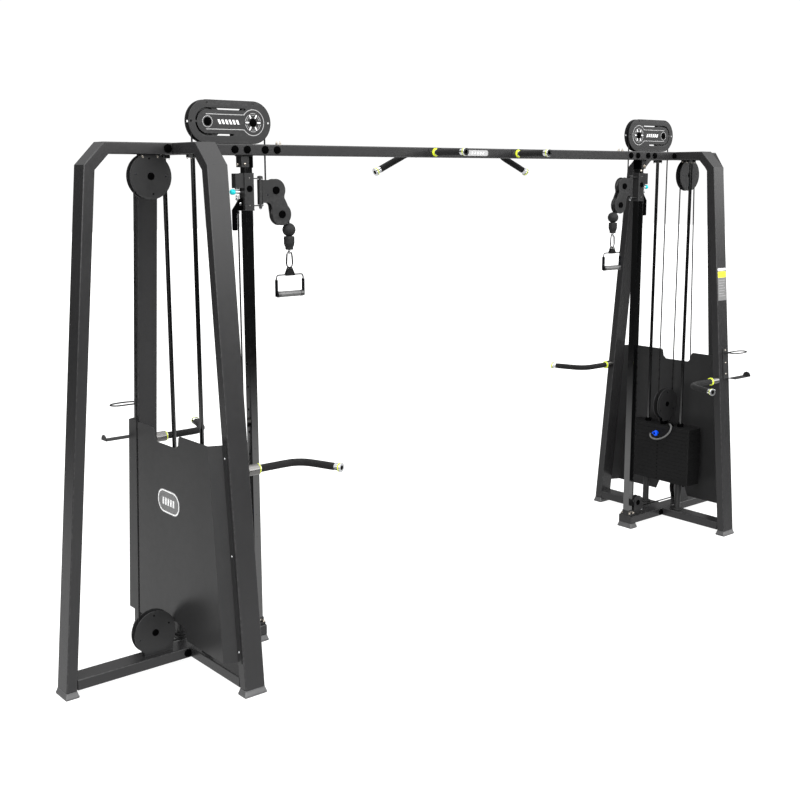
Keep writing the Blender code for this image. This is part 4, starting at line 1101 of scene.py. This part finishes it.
def arm(t):
    u, w = CENTRE["arm_pulley_upper"], CENTRE["arm_pulley_lower"]
    outline = [(PIN_X - 2, 2240), (u.x + 22.4, 2240)] + arc(u.x, u.z, 53.0, 75, 205, 26)
    outline += curve2([(u.x - 48.0, u.z - 22.4), (u.x - 47.5, u.z - 36), (u.x - 56, u.z - 52), (w.x - 34.8, w.z + 38.6)])
    outline += arc(w.x, w.z, 52.0, 132, 352, 36)
    outline += curve2([(w.x + 51.5, w.z - 7.2), (w.x + 55, w.z + 20), (w.x + 60, w.z + 46), (w.x + 76, w.z + 55),
                       (PIN_X - 2, w.z + 55)])
    m = Mesh()
    for y0, y1 in ((-16.5, -12.5), (12.5, 16.5)):
        m.plate([outline], "y", y0, y1, 0.9, 3)
    m.lathe([(6.8, 2126.2), (13, 2126.2), (14, 2127.2), (14, 2241.8), (13, 2242.8), (6.8, 2242.8)], "z",
            (PIN_X, 0, 0), 44)
    m.box(1325, PIN_X - 9, -12.6, 12.6, 2137, 2237, 1.0)
    for c in (u, w):
        m.rod("y", (c.x, 0, c.z), 6.0, -14, 14)
        for s in (-1, 1):
            m.lathe([(0, s * 16.4), (17.5, s * 16.4), (18, s * 17.2), (18, s * 21), (16.5, s * 22.5), (13, s * 23),
                     (12, s * 21.6), (0, s * 21.4)], "y", (c.x, 0, c.z), 40, 1)
    for s in (-1, 1):
        m.dome("y", (u.x + 47, 0, u.z - 20), 4.6, s * 16.5, s * 2.0, 18, 2, 0.6)
    m.rod("y", (w.x + 38, 0, w.z + 6), 4.0, -13.5, 13.5, 18, 2)
    put(m, "arm_plates_" + t, ["matte", "cap", "dark"], "arm_" + t, t, ["swivel_arm_" + t])


def curve2(points, per=6):
    return [(p.x, p.y) for p in curve_through([(a, b, 0) for a, b in points], per)]


def stop(t):
    z = mid("cable_stop_r").z
    ball_z = STOP_HI.z - 32.0
    m = Mesh()
    prof = [(0, ball_z - 32)] + [(32 * sin(pi * k / 24), ball_z - 32 * cos(pi * k / 24)) for k in range(1, 24)]
    prof.append((0, ball_z + 32))
    m.lathe(prof, "z", (HANG_X, 0, 0), 48)
    m.lathe([(0, 1909.4), (17, 1909.4), (18.6, 1911), (19, 1914), (19.4, 1923), (21.8, 1926), (25.2, 1938), (26, 1942),
             (26, 1968), (25, 1972), (23.6, 1973.4), (15, 1974.5), (12.5, 1978), (12, 1984), (0, 1985)], "z",
            (HANG_X, 0, 0), 48)
    for s in (-1, 1):
        m.plate([rrect(HANG_X - 7, HANG_X + 7, 1936, 1966, 3, 3)], "y", s * 24.2 if s < 0 else 23.0,
                s * 23.0 if s < 0 else 24.2, 0.4, 2)
    eye = [(HANG_X, 9 * cos(2 * pi * i / 28), 1899.5 + 9 * sin(2 * pi * i / 28)) for i in range(28)]
    m.tube(eye, 2.4, 12, 1, closed=True)
    m.rod("z", (HANG_X, 0, 0), 2.6, 1906, 1911, 16, 1)
    put(m, "stop_ball_" + t, ["rubber", "chrome"], "stop_" + t, t, ["cable_stop_" + t])


def handle(t):
    x, z = HANG_X, 1899.0
    loop = [(x - 3, 0, z), (x + 3, 0, z), (x + 9, 0, z - 3), (x + 13, 0, z - 10), (x + 15.5, 0, z - 28),
            (x + 17, 0, z - 45), (x + 16, 0, z - 62), (x + 8, 0, z - 73), (x, 0, z - 76.5), (x - 8, 0, z - 73),
            (x - 16, 0, z - 62), (x - 17, 0, z - 45), (x - 15.5, 0, z - 28), (x - 13, 0, z - 10), (x - 9, 0, z - 3)]
    m = Mesh().tube(curve_through(loop, 5, closed=True), 3.8, 16, 0, closed=True)
    m.rod("y", (x + 15.5, 0, z - 14), 3.0, -4.4, 4.4, 18)
    m.tube([(x + 15.3, 0, z - 20), (x + 17.2, 0, z - 50)], 4.1, 20)
    top = curve_through([(x - 77.5, 0, 1764), (x - 77.5, 0, 1776), (x - 73, 0, 1786), (x - 63, 0, 1790.3),
                         (x, 0, 1790.3), (x + 63, 0, 1790.3), (x + 73, 0, 1786), (x + 77.5, 0, 1776),
                         (x + 77.5, 0, 1764)], 5)
    m.tube(top, 3.6, 16)
    for s in (-1, 1):
        m.plate([rrect(x + s * 77.5 - 3.4, x + s * 77.5 + 3.4, -9.8, 9.8, 2.5, 3)], "z", 1687, 1768, 1.0, 3, 1)
        m.rod("x", (0, 0, GRIP_Z), 7.5, x + s * 77.5 - 3.4 if s > 0 else x - 80.9, x + s * 77.5 + 3.4, 24, 0)
        a, b = sorted((x + s * 58, x + s * 74))
        m.rod("x", (0, 0, GRIP_Z), 15.0, a, b, 44, 0, 1.6)
    put(m, "stirrup_" + t, ["wire", "dark"], "handle_" + t, t, ["handle_" + t])
    m = Mesh()
    n, rows = 48, 60
    v, f = [], []
    for k in range(rows + 1):
        xx = x - 58.5 + 117 * k / rows
        for i in range(n):
            u = 2 * pi * i / n
            bump = 0.35 * (1 if (i + k) % 2 == 0 else -1)
            rr = 14.0 + (bump if 1 < k < rows - 1 else -1.0)
            v.append((xx, rr * cos(u), GRIP_Z + rr * sin(u)))
    for k in range(rows):
        f += [(k * n + i, k * n + (i + 1) % n, (k + 1) * n + (i + 1) % n, (k + 1) * n + i) for i in range(n)]
    f += [tuple(range(n)), tuple(range((rows + 1) * n - 1, rows * n - 1, -1))]
    m.add(v, f)
    put(m, "stirrup_grip_" + t, "knurl", "handle_" + t, t, angle=60)
    m = Mesh()
    web = [(x - 25.5, 1786.5), (x + 25.5, 1786.5), (x + 25.5, 1791), (x + 10, 1824), (x + 6, 1827.5), (x - 6, 1827.5),
           (x - 10, 1824), (x - 25.5, 1791)]
    eye = slot([(x, 1818.5), (x, 1821)], 4.4)
    m.plate([web, eye], "y", -10.5, -5.5, 1.2, 3)
    m.plate([web, eye], "y", 5.5, 10.5, 1.2, 3)
    m.plate([rrect(x - 25, x + 25, 1785.2, 1796, 3)], "y", -9, 9, 2.0, 3)
    put(m, "strap_" + t, "web", "handle_" + t, t)


GRIP_Z = 1698.0


def holder(t):
    m = Mesh()
    face = lambda z, d: (-(leg_y(z) + d), z)
    plate = [face(1000, 0.35), face(1000, 5.2), face(1190, 5.2), face(1190, 0.35)]
    m.plate([plate], "x", 1757.3, 1802.7, 1.0)
    for z in (1030, 1100, 1178):
        y = -(leg_y(z) + 5.2)
        m.dome("y", (1780, 0, z), 5.5, y + 0.5, -3.5, 20, 1, 0.8)
    hoop = [(1790, -438, 1165), (1792, -452, 1165), (1830, -456, 1165), (1880, -458, 1165), (1905, -468, 1165),
            (1915, -490, 1165), (1900, -512, 1165), (1865, -522, 1165), (1820, -522, 1165), (1784, -510, 1165),
            (1772, -490, 1165), (1770, -438, 1165)]
    m.tube(curve_through(hoop, 6), 3.9, 16, 0)
    m.box(1796, 1962, -510, -455, 999, 1003, 1.2, 0)
    m.plate([arc(-482.5, 1001, 27.5, 0, 180, 20)], "x", 1958, 1962, 1.2)
    put(m, "hooks_" + t, ["matte", "zinc"], "frame", t, ["accessory_holder_" + t])


# ---------------------------------------------------------------- cable
def cable_piece(name, pts, t, ride=None, blend=None, hides=(), shear=False):
    m = Mesh().tube(pts, CABLE_R + 1.0, 16, shear=shear)
    ob = put(m, name + "_" + t, "cable", ride, t, hides, angle=50, ride=blend is None)
    if blend:
        a, b = Vector(pts[0]), Vector(pts[-1])
        if shear:  # the rings lean 45 degrees; b is set across the rings here, but nothing reads a or b
            half = (a.z - b.z) / 2
            b = a + Vector((half, 0, -half))
        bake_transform(ob)
    return ob


def straight(a, b, n):
    a, b = Vector(a), Vector(b)
    return [a.lerp(b, k / n) for k in range(n + 1)]


def tangent(c1, r1, c2, r2):
    dx, dz = c2.x - c1.x, c2.z - c1.z
    from math import asin
    phi = atan2(dz, dx) - asin((r1 + r2) / hypot(dx, dz))
    return ((c1.x - r1 * sin(phi), c1.z + r1 * cos(phi)), (c2.x + r2 * sin(phi), c2.z - r2 * cos(phi)))


def cables(t):
    up, low = CENTRE["arm_pulley_upper"], CENTRE["arm_pulley_lower"]
    ti, to = CENTRE["top_pulley_inner"], CENTRE["top_pulley_outer"]
    st, uo, lo = CENTRE["stack_pulley"], CENTRE["upper_pulley"], CENTRE["lower_pulley"]
    ba = CENTRE["base_pulley"]
    flat = lambda pts: [(x, 0.0, z) for x, z in pts]
    p1, p2 = tangent(up, ARM_PITCH, low, ARM_PITCH)
    a1 = degrees(atan2(p1[1] - up.z, p1[0] - up.x))
    a2 = degrees(atan2(p2[1] - low.z, p2[0] - low.x))
    cable_piece("cable_to_ball", straight((HANG_X, 0, low.z), (HANG_X, 0, STOP_HI.z - 4), 24), t,
                blend=("arm_" + t, "stop_" + t), hides=["cable_" + t], shear=True)
    cable_piece("cable_arm", flat(arc(low.x, low.z, ARM_PITCH, 180, a2, 16) + arc(up.x, up.z, ARM_PITCH, a1, 0, 16)),
                t, "arm_" + t)
    lead_z = up.z + 130  # below here the run is the separate piece cable_lead
    cable_piece("cable_drop", straight((DROP_X, 0, ti.z - 3), (DROP_X, 0, lead_z), 30), t,
                blend=("frame", "carriage_" + t))
    cable_piece("cable_lead", straight((DROP_X, 0, lead_z), (DROP_X, 0, up.z), 24), t,
                blend=("carriage_" + t, "arm_" + t))
    cable_piece("cable_top", flat(arc(ti.x, ti.z, BIG_PITCH, 180, 90, 20) + arc(to.x, to.z, BIG_PITCH, 90, 0, 20)),
                t, "frame")
    cable_piece("cable_stack_in", straight((to.x + BIG_PITCH, 0, to.z), (st.x - BIG_PITCH, 0, st.z), 30), t,
                blend=("frame", "lift_" + t))
    cable_piece("cable_stack", flat(arc(st.x, st.z, BIG_PITCH, 180, 360, 36)), t, "lift_" + t)
    cable_piece("cable_stack_out", straight((uo.x - BIG_PITCH, 0, uo.z), (st.x + BIG_PITCH, 0, st.z), 30), t,
                blend=("frame", "lift_" + t))
    slope = degrees(atan2(lo.x - uo.x, uo.z - lo.z))
    run = arc(uo.x, uo.z, BIG_PITCH, 180, slope, 24) + arc(lo.x, lo.z, BIG_PITCH, slope, -90, 20)
    run += arc(ba.x, ba.z, BASE_PITCH, 270, 180, 14)
    cable_piece("cable_outer", flat(run), t, "frame")
    cable_piece("cable_return", straight((ANCHOR_X, 0, ba.z), (ANCHOR_X, 0, SLEEVE_Z + 0.7), 30), t,
                blend=("frame", "carriage_" + t))


# ---------------------------------------------------------------- beam
def beam():
    xe = BEAM_HI.x
    m = Mesh().plate([rrect(-50, 50, UNDER, TOP, 5)], "x", -xe, xe, 0.8)
    put(m, "beam", "frame", "frame", hides=["crossbeam"])
    m = Mesh()
    zc = (TOP + UNDER) / 2
    for s in (-1, 1):
        for y in (-1, 1):
            for x in (1280, 1346, 1443, 1508, 1700):
                m.dome("y", (s * x, 0, zc), 18.0, y * 50, y * 10, 36, 0)
        for y in (-14, 14):
            m.hexagon("z", (s * 1240, y, 0), 11, TOP, TOP + 9, 1)
            m.rod("z", (s * 1240, y, 0), 3.6, TOP, TOP + 16, 16, 1)
    put(m, "beam_bolts", ["cap", "zinc"], "frame")
    m = Mesh()
    for s in (-1, 1):
        c = s * 304
        for y0, y1 in ((-52.6, -50), (50, 52.6)):
            m.plate([rrect(c - 44, c + 44, UNDER + 1, TOP - 1, 3)], "y", y0, y1, 0.7)
    put(m, "grip_plates", "frame", "frame")
    m = Mesh()
    m.plate([rrect(-78, 78, zc - 15, zc + 15, 12, 6)], "y", -50.9, -49.8, 0.4, 2, 0)
    for k in range(5):
        x = -44 + 20 * k
        m.plate([[(x, zc - 6), (x + 8, zc - 6), (x + 13, zc + 6), (x + 5, zc + 6)]], "y", -51.3, -50.6, 0.15, 1, 1)
    put(m, "beam_badge", ["print", "white"], "frame")
    for s, side in ((-1, "left"), (1, "right")):
        z = 2377.0
        foam_bar("neutral_grip_" + side, [(s * 304, y, z) for y in (-70, -110, -160, -210, -256)], FOAM_R, "")
        m = Mesh()
        m.rod("y", (s * 304, 0, z), 15.5, -74, -51, 36, 0)
        m.lathe([(15, -60), (20, -60), (21.5, -58), (21.5, -54), (20, -52.6), (15, -52.6)], "y", (s * 304, 0, z), 40,
                1)
        end_ring(m, (s * 304, -276, z), (0, -1, 0), 21.0, 0, 1)
        put(m, "neutral_fittings_" + side, ["chrome", "lime", "hole_shade"], "frame")
        pts = [(s * 346, 53, 2376), (s * 346, 96, 2375), (s * 352, 116, 2370), (s * 366, 128, 2362),
               (s * 388, 131, 2351), (s * 440, 131, 2328), (s * 490, 130.5, 2306), (s * 530, 130, 2288)]
        foam_bar("wide_grip_" + side, pts, FOAM_R, "")
        m = Mesh()
        e, d = Vector((s * 547, 130, 2280.4)), Vector((s * 11, 0, -5.2))
        end_ring(m, e, d, 21.0, 0, 1)
        m.lathe([(0, 50), (24, 50), (25, 51), (25, 55), (24, 56), (0, 56)], "y", (s * 346, 0, 2376), 40, 0)
        put(m, "wide_fittings_" + side, ["chrome", "lime", "hole_shade"], "frame")


def leg_label():
    """Plain warning-style label without lettering on one leg."""
    m = Mesh()
    k = LEG_SLOPE

    def panel(x0, x1, z0, z1, mat, lift):
        v = []
        for d in (0.05, lift):
            v += [(x, -(leg_y(z) + d), z) for x, z in ((x0, z0), (x1, z0), (x1, z1), (x0, z1))]
        m.add(v, [(0, 1, 2, 3), (7, 6, 5, 4), (0, 4, 5, 1), (1, 5, 6, 2), (2, 6, 7, 3), (3, 7, 4, 0)], mat)

    panel(1729, 1813, 1489, 1690, 0, 0.3)
    panel(1731, 1811, 1674, 1688, 1, 0.45)
    panel(1731, 1811, 1631, 1668, 2, 0.45)
    for i in range(7):
        panel(1738, 1804 - 9 * (i % 3), 1612 - 16 * i, 1614.5 - 16 * i, 3, 0.45)
    put(m, "leg_label_r", ["panel", "white", "yellow", "print"], "frame", "r")


# ---------------------------------------------------------------- build
camera()
studio()
floor()
for tag in TAGS:
    lanyard(tag)
    cables(tag)
beam()
leg_label()
for tag in TAGS:
    leg_frame(tag)
    outer_frame(tag)
    covers(tag)
    base(tag)
    column(tag)
    rods(tag)
    side_grips(tag)
    shroud(tag)
    stack(tag)
    stack_head(tag)
    selector(tag)
    for key in BIG:
        pulley(tag, key, BIG_PITCH, BIG_R, 11.0, 8.7)
    for key in ("arm_pulley_upper", "arm_pulley_lower"):
        pulley(tag, key, ARM_PITCH, ARM_R, 9.5, 6.6)
    pulley(tag, "base_pulley", BASE_PITCH, BASE_R, 9.0, 6.6)
    top_cover(tag)
    carriage(tag)
    pop_pin(tag)
    arm(tag)
    stop(tag)
    handle(tag)
    holder(tag)
